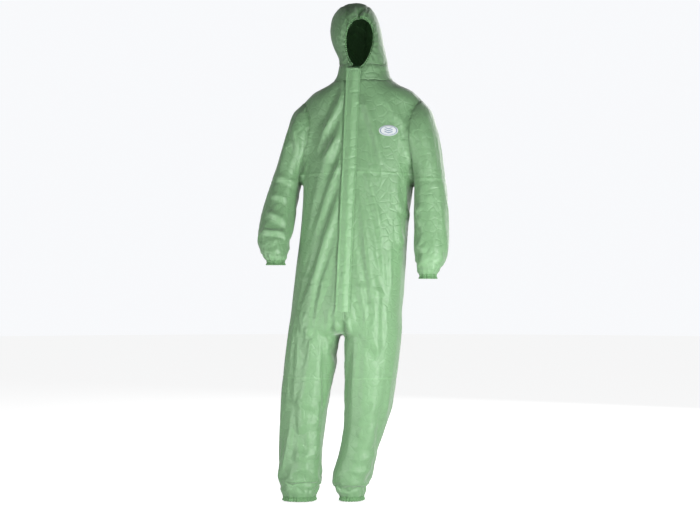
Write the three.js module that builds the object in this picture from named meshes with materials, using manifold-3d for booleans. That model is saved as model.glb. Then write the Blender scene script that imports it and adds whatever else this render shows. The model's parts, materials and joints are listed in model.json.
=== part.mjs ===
// A hooded protective coverall, standing as it does on a wearer.
// Sizes are millimetres. x runs across the wearer (left arm on +x), y from front to back, z up.
// The suit is shaped with heights above the wearer's floor and upright, then leaned and moved so that
// the origin is the middle of the neck seam, which is where coveralls are measured from.
import * as THREE from "three";
import { LoftGeometry } from "three/addons/geometries/LoftGeometry.js";
import { mergeVertices } from "three/addons/utils/BufferGeometryUtils.js";
import Module from "manifold-3d";

const wasm = await Module();
wasm.setup();

// ---- Driving dimensions -------------------------------------------------------------------------
const wall = 2; // cloth with the air in it
const seamGap = 0.3; // between two pieces that are sewn to each other
const lean = 0.07; // sideways shift per unit of height, from standing on the left leg
const neckZ = 1590; // neck seam
const chinZ = 1634; // lower end of the face opening, and top of the zip
const hoodFoldZ = 1645; // the hood folds back here
const crownZ = 1876;
const chestSeamZ = 1264;
const waistZ = 1050;
const crotchZ = 702;
const hipZ = 690; // thighs start just under the crotch
const kneeZ = 540; // pressed crease above the knee, where the shin part starts
const hemZ = 88;
const cuffZ = 884;
const rightCuffZ = 932; // higher, because the arm is bent
const sleeveCreaseZ = 1242; // pressed crease above the elbow, where the lower sleeve starts
const bendTopZ = 1190; // the right forearm bends forwards from here
const cuffForward = 60; // what that bend moves the cuff
const cuffInward = 32;
const shoulderZ = 1530; // top of the armhole
const armSlimmer = 9; // the right sleeve's outer side is nearer the body than the left one's
const slimmedBelow = 50; // from here under the shoulder
const slimmedTo = 530; // down to here
const armpitZ = 1286;
const chestHalfWidth = 203;
const shoulderOverhang = 11; // the top of the armhole is this much further out than the chest
const shoulderHalfWidth = chestHalfWidth + shoulderOverhang;
const armClearance = 4; // from the chest out to the foot of the armhole
const armholeFoot = chestHalfWidth + armClearance; // half width between the feet of the two armholes
const frontTopY = -112; // front of the suit at the chin
const frontSlope = 0.0515; // how much further forward it hangs per unit down
const zipTopX = -24; // the chest is turned a little to the wearer's right
const zipSlant = 0.032; // how much further left the zip is per unit down
const headTurn = 11; // degrees, to the wearer's left
const zipBottomZ = 790;
const zipSlot = 14; // between the two front panels
const slotBottomZ = zipBottomZ - 8; // under the bottom stop, where the seat panels start
const flapWidth = 50;
const flapThickness = 1.2;
const flapBottomZ = 768;
const elasticThickness = 1.4;
const elasticWidth = 12;

const far = 700; // well outside the suit, sideways

// ---- Solids from surfaces -----------------------------------------------------------------------
function solid(geometry) {
  const bare = geometry.index ? geometry.toNonIndexed() : geometry.clone();
  bare.deleteAttribute("normal");
  bare.deleteAttribute("uv");
  const merged = mergeVertices(bare, 1e-4);
  const vertProperties = merged.attributes.position.array;
  const triVerts = new Uint32Array(merged.index.array);
  return new wasm.Manifold(new wasm.Mesh({ numProp: 3, vertProperties, triVerts }));
}

function geometryOf(body) {
  const { vertProperties, triVerts } = body.getMesh();
  return new THREE.BufferGeometry()
    .setAttribute("position", new THREE.BufferAttribute(new Float32Array(vertProperties), 3))
    .setIndex(new THREE.BufferAttribute(new Uint32Array(triVerts), 1));
}

const between = (z0, z1) => block(-far, far, -far, far, z0, z1);

function block(x0, x1, y0, y1, z0, z1) {
  const geometry = new THREE.BoxGeometry(x1 - x0, y1 - y0, z1 - z0);
  return solid(geometry.translate((x0 + x1) / 2, (y0 + y1) / 2, (z0 + z1) / 2));
}

// A prism along y over an outline given as [x, z] pairs.
function prismAlongY(outline, y0, y1) {
  const shape = new THREE.Shape(outline.map(([x, z]) => new THREE.Vector2(x, z)));
  const geometry = new THREE.ExtrudeGeometry(shape, { depth: y1 - y0, bevelEnabled: false });
  return solid(geometry.rotateX(Math.PI / 2).translate(0, y1, 0));
}

// ---- Tubes of cloth -----------------------------------------------------------------------------
// A tube is a list of stations. Each has the section's two side points, its front and back in y, the
// power of its superellipse (2 is round, more is squarer), and how far its front is turned sideways.
function station(leftX, leftZ, rightX, rightZ, front, back, power, turn = 0) {
  return {
    left: [leftX, 0, leftZ], right: [rightX, 0, rightZ], depth: [front, back, power], turn: [turn, 0, 0],
  };
}

const frontAt = (z) => frontTopY - (chinZ - z) * frontSlope;
const zipX = (z) => zipTopX + (chinZ - z) * zipSlant;

function ring(left, right, [front, back, power], turn, count) {
  const middle = new THREE.Vector3().addVectors(left, right).multiplyScalar(0.5);
  const half = new THREE.Vector3().subVectors(right, left).multiplyScalar(0.5);
  middle.y += (front + back) / 2;
  const round = (value) => Math.sign(value) * Math.abs(value) ** (2 / power);
  return Array.from({ length: count }, (_, j) => {
    const angle = (j / count) * 2 * Math.PI;
    const point = middle.clone().addScaledVector(half, round(Math.cos(angle)));
    point.y += round(Math.sin(angle)) * (back - front) / 2;
    point.x += turn * Math.max(0, -Math.sin(angle)) ** 2;
    return point;
  });
}

// The rings of a tube, smooth between its stations, with a whole number of rings to each.
function ringsOf(stations, ringsEach, pointCount) {
  const ringCount = (stations.length - 1) * ringsEach + 1;
  const curve = (key) => new THREE.CatmullRomCurve3(
    stations.map((s) => new THREE.Vector3(...s[key])), false, "catmullrom", 0.5);
  const [left, right, depth, turn] = ["left", "right", "depth", "turn"].map(curve);
  return Array.from({ length: ringCount }, (_, i) => {
    const t = i / (ringCount - 1);
    return ring(left.getPoint(t), right.getPoint(t), depth.getPoint(t).toArray(),
      turn.getPoint(t).x, pointCount);
  });
}

// The same rings moved inwards along the surface's normal. The two end rings also move towards each
// other, so that a closed end gets the same wall.
function insetRings(rings, inset) {
  const last = rings.length - 1;
  return rings.map((points, i) => points.map((point, j) => {
    const n = points.length;
    const around = new THREE.Vector3().subVectors(points[(j + 1) % n], points[(j + n - 1) % n]);
    const along = new THREE.Vector3()
      .subVectors(rings[Math.min(i + 1, last)][j], rings[Math.max(i - 1, 0)][j]);
    const normal = new THREE.Vector3().crossVectors(around, along).normalize();
    const moved = point.clone().addScaledVector(normal, -inset);
    if (i === 0 || i === last) moved.addScaledVector(along.normalize(), i === 0 ? inset : -inset);
    return moved;
  }));
}

const mirrored = (s) => ({
  ...s, left: [-s.right[0], 0, s.right[2]], right: [-s.left[0], 0, s.left[2]],
});

function torsoStations() {
  const at = (z, halfWidth, back, power, sway = 0, front = frontAt(z)) =>
    station(sway - halfWidth, z, sway + halfWidth, z, front, back, power, zipX(z) - sway);
  return [
    at(crotchZ, chestHalfWidth - 22, 112, 2.3, -12, -138),
    at(760, chestHalfWidth + 2, 132, 2.4, -9),
    at(850, chestHalfWidth + 2, 142, 2.5, -6),
    at(940, chestHalfWidth, 134, 2.6, -3),
    at(waistZ, chestHalfWidth - 4, 122, 2.6),
    at(1160, chestHalfWidth - 3, 134, 2.6),
    at(1270, chestHalfWidth, 146, 2.6),
    at(1380, chestHalfWidth, 148, 2.5),
    at(1465, chestHalfWidth + 7, 138, 2.3),
    at(shoulderZ - 8, shoulderHalfWidth + 2, 116, 2.1),
    at(1557, 178, 98, 2.0),
    at(1580, 122, 82, 2.0),
    at(1604, 92, 70, 2.1),
  ];
}

// From the cuff up to inside the shoulder. The first side point is on the body side, and both are given
// by how far out they are from the foot of the armhole.
function sleeveStations() {
  const at = (inner, innerZ, outer, outerZ, middle, depth, power = 2.15) =>
    station(armholeFoot + inner, innerZ, armholeFoot + outer, outerZ,
      middle - depth, middle + depth, power);
  return [
    at(33, cuffZ - 16, 119, cuffZ - 16, -68, 44),
    at(39, cuffZ, 113, cuffZ, -67, 39),
    at(42, cuffZ + 14, 110, cuffZ + 14, -66, 36),
    at(34, 918, 129, 924, -62, 52),
    at(26, 955, 143, 966, -56, 66),
    at(21, 998, 147, 1012, -48, 73),
    at(14, 1040, 143, 1062, -40, 74),
    at(8, 1098, 133, 1145, -30, 76),
    at(6, 1152, 118, 1228, -22, 80),
    at(5, 1194, 99, 1312, -14, 86),
    at(4, 1238, 77, 1408, -8, 94),
    at(2, 1268, 47, 1486, -4, 100),
    at(0, armpitZ, shoulderHalfWidth + 2 - armholeFoot, shoulderZ - 7, 0, 102),
    at(-79, armpitZ + 24, -79, shoulderZ - 6, 2, 72),
  ];
}

// The right arm is bent, so that its forearm comes forward and in towards the body.
function bentArm(s) {
  const share = THREE.MathUtils.clamp((bendTopZ - s.left[2]) / (bendTopZ - cuffZ), 0, 1);
  const move = ([x, y, z]) => [x - cuffInward * share ** 2, y, z + (rightCuffZ - cuffZ) * share];
  const [front, back, power] = s.depth;
  const right = move(s.right);
  const fromShoulder = shoulderZ - s.right[2];
  if (fromShoulder > slimmedBelow) {
    right[0] -= armSlimmer * THREE.MathUtils.smoothstep(-fromShoulder, -slimmedTo, -slimmedTo + 300);
  }
  const forward = cuffForward * share;
  return mirrored({ ...s, left: move(s.left), right, depth: [front - forward, back - forward, power] });
}

// From the hem up to inside the hip, for the left leg (side is +1) or the right one (side is -1). Each
// section is given by its height, inner and outer sides, middle in y, and half its depth.
function legStations(side) {
  const leftLeg = [
    [hemZ - 16, 8, 108, -6, 66], [hemZ, 12, 104, -6, 62], [hemZ + 14, 12, 102, -6, 60],
    [130, -8, 110, -6, 74], [160, -24, 116, -4, 84], [205, -22, 124, -2, 88], [277, -4, 138, 0, 90],
    [360, 2, 165, 2, 93], [440, 0, 186, 0, 97], [505, -4, 192, -4, 102], [605, -8, 200, -8, 112],
    [crotchZ - 2, -12, 205, -10, 122], [760, -12, 200, -10, 128], [830, -8, 190, -8, 126],
  ];
  const rightLeg = [
    [hemZ - 16, 62, 193, -46, 66], [hemZ, 66, 189, -46, 62], [hemZ + 14, 67, 188, -45, 60],
    [130, 57, 200, -42, 74], [160, 51, 212, -36, 84], [205, 51, 214, -30, 88], [277, 52, 220, -24, 90],
    [360, 48, 226, -18, 93], [440, 44, 228, -14, 97], [505, 38, 228, -12, 102], [605, 30, 226, -10, 112],
    [crotchZ - 2, 24, 219, -10, 122], [760, 20, 213, -10, 128], [830, 16, 200, -8, 126],
  ];
  return (side > 0 ? leftLeg : rightLeg).map(([z, inner, outer, middle, depth]) => {
    const s = station(inner, z, outer, z, middle - depth, middle + depth, 2.25);
    return side > 0 ? s : mirrored(s);
  });
}

// From inside the neck up to the crown.
function hoodStations() {
  const at = (z, middle, halfWidth, front, back, power = 2.1, turn = 0) =>
    station(middle - halfWidth, z, middle + halfWidth, z, front, back, power, turn);
  const atNeck = (z, middle, halfWidth, back) =>
    at(z, middle, halfWidth, frontAt(z), back, 2.1, zipX(z) - middle);
  return [
    atNeck(1562, 0, 94, 84),
    atNeck(neckZ, 0, 98, 73),
    atNeck(1615, -2, 92, 70),
    atNeck(1640, -4, 87, 74),
    at(1668, -9, 85, -107, 86, 2.1, -8),
    at(1703, -22, 89, -104, 105),
    at(1746, -36, 93, -100, 121),
    at(1789, -44, 90, -91, 124),
    at(1832, -50, 77, -70, 108),
    at(1862, -49, 52, -38, 78),
    at(crownZ, -48, 22, -6, 46),
  ];
}

// The hood turns with the head: sections above the collar are turned about the neck.
function turnHood(rings) {
  const neckY = -20;
  return rings.map((points) => points.map((point) => {
    const share = THREE.MathUtils.smoothstep(point.z, hoodFoldZ, hoodFoldZ + 70);
    const angle = THREE.MathUtils.degToRad(headTurn) * share;
    const moved = point.clone().setY(point.y - neckY);
    return moved.applyAxisAngle(new THREE.Vector3(0, 0, 1), angle).setY(moved.y + neckY);
  }));
}

const tubes = [
  ringsOf(torsoStations(), 1, 28),
  ringsOf(sleeveStations(), 1, 16),
  ringsOf(sleeveStations().map(bentArm), 1, 16),
  ringsOf(legStations(1), 1, 16),
  ringsOf(legStations(-1), 1, 16),
  turnHood(ringsOf(hoodStations(), 2, 24)),
];

// The whole suit as one solid body, its surface moved in by inset.
const bodies = new Map();
function suitBody(inset) {
  if (!bodies.has(inset)) {
    const parts = tubes.map((rings) =>
      solid(new LoftGeometry(insetRings(rings, inset), { capStart: true, capEnd: true })));
    bodies.set(inset, parts.reduce((whole, part) => whole.add(part)));
  }
  return bodies.get(inset);
}

// A layer of the suit, from one depth under the surface to another.
const layer = (outer, inner) => suitBody(outer).subtract(suitBody(inner));

// ---- Openings and regions -----------------------------------------------------------------------
const headAxis = new THREE.Vector3(-32, 0, 1722); // middle of the head, at the height of the eyes
const turnAboutHead = new THREE.Matrix4().makeTranslation(headAxis.x, 0, 0)
  .multiply(new THREE.Matrix4().makeRotationZ(THREE.MathUtils.degToRad(headTurn)))
  .multiply(new THREE.Matrix4().makeTranslation(-headAxis.x, 0, 0));

// The egg-shaped face opening, grown by margin.
function faceOpening(margin) {
  const halfHeight = 88;
  const halfWidth = 54;
  const outline = Array.from({ length: 28 }, (_, i) => {
    const angle = (i / 28) * 2 * Math.PI;
    const taper = 0.86 + 0.14 * Math.sin(angle); // narrower at the chin
    return [
      headAxis.x + (halfWidth * taper + margin) * Math.cos(angle),
      headAxis.z + (halfHeight + margin) * Math.sin(angle),
    ];
  });
  return turned(prismAlongY(outline, -far, -20));
}

const turned = (body) => solid(geometryOf(body).applyMatrix4(turnAboutHead));

// Everything on the arm's side of the armhole, and of the gap between arm and body. side is +1 or -1.
function armRegion(side, gap) {
  const outline = [
    [shoulderHalfWidth, 1700], [shoulderHalfWidth, shoulderZ], [shoulderHalfWidth - 30, 1480],
    [shoulderHalfWidth - 36, 1430], [shoulderHalfWidth - 30, 1370], [armholeFoot - 8, 1320],
    [armholeFoot, armpitZ], [armholeFoot, 1200], [armholeFoot + 1, 860], [far, 860], [far, 1700],
  ].map(([x, z]) => [side * (x + (x < far ? gap : 0)), z]);
  return prismAlongY(side > 0 ? outline : outline.reverse(), -far, far);
}

// Everything in front of the side seams from one distance beside the zip line to another.
function alongFront(x0, x1, z0, z1) {
  return prismAlongY([[zipX(z0) + x0, z0], [zipX(z0) + x1, z0], [zipX(z1) + x1, z1], [zipX(z1) + x0, z1]],
    -far, 0);
}

const half = seamGap / 2;
const zipCut = alongFront(-zipSlot / 2, zipSlot / 2, slotBottomZ, chinZ + 20);
const cloth = layer(0, wall).subtract(faceOpening(0)).subtract(zipCut);
const arms = armRegion(1, -half).add(armRegion(-1, -half));
const trunk = cloth.subtract(arms);

// A part of the trunk between two heights, on the left (side is +1) or the right (-1). The front is
// divided along the zip, the back along its middle, and the two at the side seams.
function frontPiece(z0, z1, side) {
  const [x0, x1] = side > 0 ? [half, far] : [-far, -half];
  return trunk.intersect(alongFront(x0, x1, z0 + half, z1 - half).translate([0, -half, 0]));
}

function backPiece(z0, z1, side, y0 = half) {
  const [x0, x1] = side > 0 ? [half, far] : [-far, -half];
  return trunk.intersect(block(x0, x1, y0, far, z0 + half, z1 - half));
}

// A ring of elastic or other strip just inside the wall, between two heights.
function innerBand(z0, z1, thickness = elasticThickness) {
  return layer(wall + seamGap, wall + seamGap + thickness).intersect(between(z0, z1));
}

// The two legs are apart below the crotch, and are told from each other by where they stand.
function legOf(side, body) {
  const middle = (part) => (part.boundingBox().min[0] + part.boundingBox().max[0]) / 2;
  return body.decompose().sort((a, b) => side * (middle(b) - middle(a)))[0];
}

// ---- The finished group -------------------------------------------------------------------------
const suit = new THREE.Group();
const placed = new THREE.Matrix4().set(
  1, 0, lean, -lean * neckZ,
  0, 1, 0, 0,
  0, 0, 1, -neckZ,
  0, 0, 0, 1,
);

const finishes = {
  cloth: { color: 0x5f9a63, roughness: 0.78, metalness: 0 },
  flap: { color: 0x6aa56d, roughness: 0.75, metalness: 0 },
  elastic: { color: 0xdfe6d8, roughness: 0.85, metalness: 0 },
  tape: { color: 0x3f7a48, roughness: 0.8, metalness: 0 },
  plastic: { color: 0x2f6b3a, roughness: 0.4, metalness: 0 },
  adhesive: { color: 0xf2f2ee, roughness: 0.5, metalness: 0 },
  badge: { color: 0xd9dadd, roughness: 0.45, metalness: 0 },
  label: { color: 0xf4f4f2, roughness: 0.7, metalness: 0 },
};

function named(name, geometry, finish) {
  const mesh = new THREE.Mesh(geometry, new THREE.MeshStandardMaterial(finishes[finish]));
  mesh.name = name;
  return mesh;
}

function addCloth(name, body, finish = "cloth") {
  suit.add(named(name, geometryOf(body).applyMatrix4(placed), finish));
}

const sides = [["left", 1], ["right", -1]];

for (const [word, side] of sides) {
  addCloth(`front_upper_${word}`, frontPiece(chestSeamZ, neckZ, side));
  addCloth(`front_lower_${word}`, frontPiece(slotBottomZ, chestSeamZ, side));
  addCloth(`front_seat_${word}`, frontPiece(hipZ, slotBottomZ, side));
  addCloth(`back_upper_${word}`, backPiece(waistZ, neckZ, side));
  addCloth(`back_lower_${word}`, backPiece(hipZ, waistZ, side));
  const collar = frontPiece(neckZ, hoodFoldZ, side).translate([0, half, 0]);
  addCloth(`hood_collar_${word}`, trunk.intersect(collar).add(backPiece(neckZ, hoodFoldZ, side, 0)));
}

// The hood is two sides and a centre strip that runs from the nape over the crown to the forehead.
function hoodParts() {
  const dome = trunk.intersect(between(hoodFoldZ + half, far * 3));
  const stripHalf = 36;
  const strip = (grow) => {
    const width = stripHalf + grow;
    const outline = (z0) => [[-width - 32, z0], [width - 32, z0], [width - 46, 1790], [width - 54, far * 3],
      [-width - 54, far * 3], [-width - 46, 1790]];
    return turned(prismAlongY(outline(hoodFoldZ - 60), -20, far)
      .add(prismAlongY(outline(hoodFoldZ + 60), -far, 0)));
  };
  const sideParts = dome.subtract(strip(half)).decompose();
  const middleOf = (body) => {
    const { min, max } = body.boundingBox();
    return (min[0] + max[0]) / 2;
  };
  sideParts.sort((a, b) => middleOf(b) - middleOf(a));
  return { left: sideParts[0], right: sideParts[1], centre: dome.intersect(strip(-half)) };
}
const hood = hoodParts();
addCloth("hood_side_left", hood.left);
addCloth("hood_side_right", hood.right);
addCloth("hood_centre_strip", hood.centre);

// The face elastic runs round the opening inside the hood, above the fold line.
const faceBand = layer(wall + seamGap, wall + seamGap + elasticThickness)
  .intersect(faceOpening(8).subtract(faceOpening(1)))
  .intersect(between(hoodFoldZ + 1, crownZ));
addCloth("face_elastic", faceBand, "elastic");

for (const [word, side] of sides) {
  const arm = cloth.intersect(armRegion(side, half));
  const cuffEnd = side > 0 ? cuffZ : rightCuffZ;
  addCloth(`${word}_upper_sleeve`, arm.intersect(between(sleeveCreaseZ + half, crownZ)));
  addCloth(`${word}_lower_sleeve`, arm.intersect(between(cuffEnd, sleeveCreaseZ - half)));
  const cuffBand = innerBand(cuffEnd + 8, cuffEnd + 8 + elasticWidth).intersect(armRegion(side, 0));
  addCloth(`${word}_cuff_elastic`, cuffBand, "elastic");
  addCloth(`${word}_thigh`, legOf(side, cloth.intersect(between(kneeZ + half, hipZ - half))));
  addCloth(`${word}_shin`, legOf(side, cloth.intersect(between(hemZ, kneeZ - half))));
  addCloth(`${word}_ankle_elastic`, legOf(side, innerBand(hemZ + 8, hemZ + 8 + elasticWidth)), "elastic");
}

// The waist elastic gathers the back only, from side seam to side seam.
addCloth("waist_elastic", innerBand(waistZ + 4, waistZ + 22)
  .intersect(block(-chestHalfWidth - 10, chestHalfWidth + 10, 12, far, 0, crownZ)), "elastic");

// A washing label inside the neck, and an oval badge on the left breast.
addCloth("neck_label", innerBand(neckZ - 52, neckZ - 4, 0.6)
  .intersect(block(-17, 17, 20, far, 0, crownZ)), "label");
const badgeOutline = Array.from({ length: 28 }, (_, i) => {
  const angle = (i / 28) * 2 * Math.PI;
  return [114 + 33 * Math.cos(angle), 1408 + 19 * Math.sin(angle)];
});
addCloth("chest_badge", layer(-seamGap - 0.8, -seamGap).intersect(prismAlongY(badgeOutline, -far, 0)), "badge");

// ---- Zip and storm flap -------------------------------------------------------------------------
// They share one group: x across the zip, y up along it and z out of the cloth, with z = 0 in the
// middle of the tapes. The zip line is straight, so that the slider runs along one axis.
const onZip = (z) => new THREE.Vector3(zipX(z), frontAt(z), z).applyMatrix4(placed);
const zipFoot = onZip(zipBottomZ);
const zipHead = onZip(chinZ);
const up = zipHead.clone().sub(zipFoot).normalize();
const out = new THREE.Vector3().crossVectors(new THREE.Vector3(1, 0, 0), up).normalize();
const across = new THREE.Vector3().crossVectors(up, out);
const tapeThickness = 0.8;
const tapeDepth = wall + seamGap + 0.3 + tapeThickness / 2; // from the outside of the cloth
const zipLength = zipHead.distanceTo(zipFoot) - 8;
const zip = new THREE.Group();
zip.quaternion.setFromRotationMatrix(new THREE.Matrix4().makeBasis(across, up, out));
zip.position.copy(zipFoot).addScaledVector(out, -tapeDepth);
suit.add(zip);

// A prism along the zip over an outline in x and z.
function alongZip(outline, y0, y1) {
  const shape = new THREE.Shape(outline.map(([x, z]) => new THREE.Vector2(x, -z)));
  return new THREE.ExtrudeGeometry(shape, { depth: y1 - y0, bevelEnabled: false })
    .rotateX(-Math.PI / 2).translate(0, y0, 0);
}

const rectangle = (x0, x1, z0, z1) => [[x0, z0], [x1, z0], [x1, z1], [x0, z1]];
const coilGap = 1.8; // between the two coils, for the slider's bridge
const coilWidth = 1.9;
const coilHeight = 2.4;
const tapeInner = coilGap / 2 + coilWidth + seamGap;
const tapeOuter = 17;

for (const [word, side] of sides) {
  const span = (a, b) => (side > 0 ? [a, b] : [-b, -a]);
  addCloth(`zip_tape_${word}`, layer(tapeDepth - tapeThickness / 2, tapeDepth + tapeThickness / 2)
    .intersect(alongFront(...span(tapeInner, tapeOuter), zipBottomZ - 14, chinZ + 2)), "tape");
  const coil = rectangle(...span(coilGap / 2, coilGap / 2 + coilWidth), -coilHeight / 2, coilHeight / 2);
  zip.add(named(`zip_coil_${word}`, alongZip(coil, 0, zipLength - 6), "plastic"));
  const stop = rectangle(...span(coilGap / 2, tapeInner - seamGap), -1.5, 1.5);
  zip.add(named(`zip_top_stop_${word}`, alongZip(stop, zipLength - 6 + seamGap, zipLength - 2), "plastic"));
}
zip.add(named("zip_bottom_stop",
  alongZip(rectangle(-tapeInner + seamGap, tapeInner - seamGap, -1.6, 1.6), -5, -seamGap), "plastic"));

// The slider: two plates joined by a bridge that passes between the coils, and a lug for the pull.
const slider = { length: 12, halfWidth: 5, plate: 1.4, clear: 1.6, lug: 1.6, eye: 1.3 };
const sliderTop = zipLength - 8;
const lugY = sliderTop - slider.length / 2;
const lugZ = slider.clear + slider.plate + 1.9;

function sliderGeometry() {
  const { length, halfWidth, plate, clear } = slider;
  const y0 = sliderTop - length;
  const outline = [[-0.6 * halfWidth, y0], [0.6 * halfWidth, y0], [halfWidth, y0 + 4], [halfWidth, y0 + 9],
    [0.7 * halfWidth, y0 + length], [-0.7 * halfWidth, y0 + length], [-halfWidth, y0 + 9], [-halfWidth, y0 + 4]];
  const shape = new THREE.Shape(outline.map(([x, y]) => new THREE.Vector2(x, y)));
  const sheet = () => new THREE.ExtrudeGeometry(shape, { depth: plate, bevelEnabled: false });
  const front = solid(sheet().translate(0, 0, clear));
  const back = solid(sheet().translate(0, 0, -clear - plate));
  const bridge = block(-0.5, 0.5, sliderTop - 5, sliderTop - 1, -clear - 0.5, clear + 0.5);
  const lugDisc = solid(new THREE.CylinderGeometry(2.2, 2.2, slider.lug, 16).rotateZ(Math.PI / 2)
    .translate(0, lugY, lugZ));
  const lugFoot = block(-slider.lug / 2, slider.lug / 2, lugY - 2.2, lugY + 2.2, clear + plate - 0.5, lugZ);
  const eye = solid(new THREE.CylinderGeometry(slider.eye, slider.eye, 8, 16).rotateZ(Math.PI / 2)
    .translate(0, lugY, lugZ));
  const body = front.add(back).add(bridge).add(lugDisc).add(lugFoot).subtract(eye);
  return geometryOf(body);
}
zip.add(named("zip_slider", sliderGeometry(), "plastic"));

// The pull hangs down the zip from a pin through the lug's eye.
function pullGeometry() {
  const pin = solid(new THREE.CylinderGeometry(0.9, 0.9, 6.4, 12).rotateZ(Math.PI / 2)
    .translate(0, lugY, lugZ));
  const ear = (side) => block(Math.min(side * 1.3, side * 3.2), Math.max(side * 1.3, side * 3.2),
    lugY - 6, lugY + 1.4, lugZ - 0.9, lugZ + 0.9);
  const tongueShape = new THREE.Shape()
    .moveTo(-3.2, lugY - 5).lineTo(3.2, lugY - 5).lineTo(4.2, lugY - 26)
    .absarc(0, lugY - 26, 4.2, 0, -Math.PI, true).lineTo(-3.2, lugY - 5);
  const tongue = solid(new THREE.ExtrudeGeometry(tongueShape, { depth: 1.8, bevelEnabled: false, curveSegments: 8 })
    .translate(0, 0, lugZ - 0.9));
  return geometryOf(pin.add(ear(1)).add(ear(-1)).add(tongue));
}
zip.add(named("zip_pull", pullGeometry(), "plastic"));

// The storm flap is sewn along its left edge, arches over the zip, and sticks down along its right.
const flapFoot = tapeDepth + seamGap; // just over the cloth's outside
const flapRise = 9.6; // underside of the arch, over the pull
const archHalf = 9; // half width of the arch's level top
const stripThickness = 0.6;
const flapHalf = flapWidth / 2;
const stripX = [-flapHalf + 1, -flapHalf + 9];
const flapStuck = flapFoot + 2 * (stripThickness + seamGap); // the free edge lies on strip and liner
const flapBottom = flapBottomZ - zipBottomZ;
const flapTop = zipLength + 4;

// A strip of the flap whose underside passes through the given [x, z] points.
function flapStrip(name, under) {
  const over = under.map(([x, z]) => [x, z + flapThickness]).reverse();
  zip.add(named(name, alongZip(under.concat(over).reverse(), flapBottom, flapTop), "flap"));
}
flapStrip("storm_flap", [[archHalf, flapRise], [-archHalf, flapRise]]);
flapStrip("flap_sewn_edge",
  [[flapHalf, flapFoot], [flapHalf - 6, flapFoot], [archHalf + seamGap, flapRise]]);
flapStrip("flap_free_edge",
  [[-archHalf - seamGap, flapRise], [-flapHalf + 10, flapStuck], [-flapHalf, flapStuck]]);
zip.add(named("flap_release_liner",
  alongZip(rectangle(...stripX, flapFoot, flapFoot + stripThickness), flapBottom + 4, flapTop - 4), "label"));
zip.add(named("flap_adhesive_strip", alongZip(rectangle(...stripX, flapFoot + stripThickness + seamGap,
  flapFoot + 2 * stripThickness + seamGap), flapBottom + 4, flapTop - 4), "adhesive"));

export default suit;
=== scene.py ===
import json
import math

import bmesh
import bpy
import numpy as np
from bpy.props import FloatProperty, FloatVectorProperty, IntProperty, PointerProperty
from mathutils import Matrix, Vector


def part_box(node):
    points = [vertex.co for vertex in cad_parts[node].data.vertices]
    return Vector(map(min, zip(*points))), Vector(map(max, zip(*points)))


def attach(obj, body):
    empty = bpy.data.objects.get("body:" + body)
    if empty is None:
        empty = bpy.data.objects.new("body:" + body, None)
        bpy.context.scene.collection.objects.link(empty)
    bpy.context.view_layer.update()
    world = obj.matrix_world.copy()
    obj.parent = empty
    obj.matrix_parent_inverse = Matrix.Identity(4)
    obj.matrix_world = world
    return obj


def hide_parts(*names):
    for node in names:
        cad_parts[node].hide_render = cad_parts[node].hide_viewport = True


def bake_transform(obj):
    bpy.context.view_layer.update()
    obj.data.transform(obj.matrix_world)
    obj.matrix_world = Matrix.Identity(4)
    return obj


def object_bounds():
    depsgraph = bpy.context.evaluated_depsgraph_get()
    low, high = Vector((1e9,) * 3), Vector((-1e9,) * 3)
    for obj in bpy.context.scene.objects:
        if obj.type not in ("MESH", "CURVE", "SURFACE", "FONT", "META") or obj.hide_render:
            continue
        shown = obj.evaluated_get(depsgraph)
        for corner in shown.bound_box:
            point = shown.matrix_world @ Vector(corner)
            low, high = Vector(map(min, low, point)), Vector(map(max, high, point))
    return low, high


bl_info = {
    "name": "Hooded protective coverall",
    "version": (1, 0, 0),
    "blender": (4, 5, 0),
    "location": "View3D > Sidebar > Coverall",
    "description": "Cloth, closure, elastics and studio for a hooded coverall",
    "category": "Object",
}

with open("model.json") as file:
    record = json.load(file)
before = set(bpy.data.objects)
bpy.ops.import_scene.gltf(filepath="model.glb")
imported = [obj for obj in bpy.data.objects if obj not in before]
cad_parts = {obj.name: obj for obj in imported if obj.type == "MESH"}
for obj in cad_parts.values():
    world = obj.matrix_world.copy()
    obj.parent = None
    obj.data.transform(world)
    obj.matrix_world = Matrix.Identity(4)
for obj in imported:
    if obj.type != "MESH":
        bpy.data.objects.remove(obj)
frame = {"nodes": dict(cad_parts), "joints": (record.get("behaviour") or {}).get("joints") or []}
CAD_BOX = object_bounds()

# Cut size of each panel, flat, as (width, length) in metres.
PANEL_CUTS = {
    "front_upper_left": (0.26, 0.33), "front_upper_right": (0.23, 0.33),
    "front_lower_left": (0.27, 0.52), "front_lower_right": (0.29, 0.52),
    "front_seat_left": (0.29, 0.11), "front_seat_right": (0.30, 0.11),
    "back_upper_left": (0.27, 0.56), "back_upper_right": (0.27, 0.56),
    "back_lower_left": (0.29, 0.38), "back_lower_right": (0.29, 0.38),
    "hood_collar_left": (0.22, 0.075), "hood_collar_right": (0.22, 0.075),
    "hood_side_left": (0.24, 0.23), "hood_side_right": (0.24, 0.23), "hood_centre_strip": (0.09, 0.40),
    "left_upper_sleeve": (0.40, 0.27), "right_upper_sleeve": (0.40, 0.27),
    "left_lower_sleeve": (0.44, 0.38), "right_lower_sleeve": (0.42, 0.34),
    "left_thigh": (0.66, 0.17), "left_shin": (0.56, 0.48),
    "right_thigh": (0.64, 0.17), "right_shin": (0.56, 0.48),
}
PANELS = list(PANEL_CUTS)
LIMBS = ("left", "right")
SUIT = {}  # the sewn suit's points and faces, which one operator leaves for the next


# ---- Places read from the frame --------------------------------------------------------------------
def joint(name):
    return next(j for j in frame["joints"] if j["name"] == name)


def low(node, axis=2):
    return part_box(node)[0][axis]


def high(node, axis=2):
    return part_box(node)[1][axis]


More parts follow.
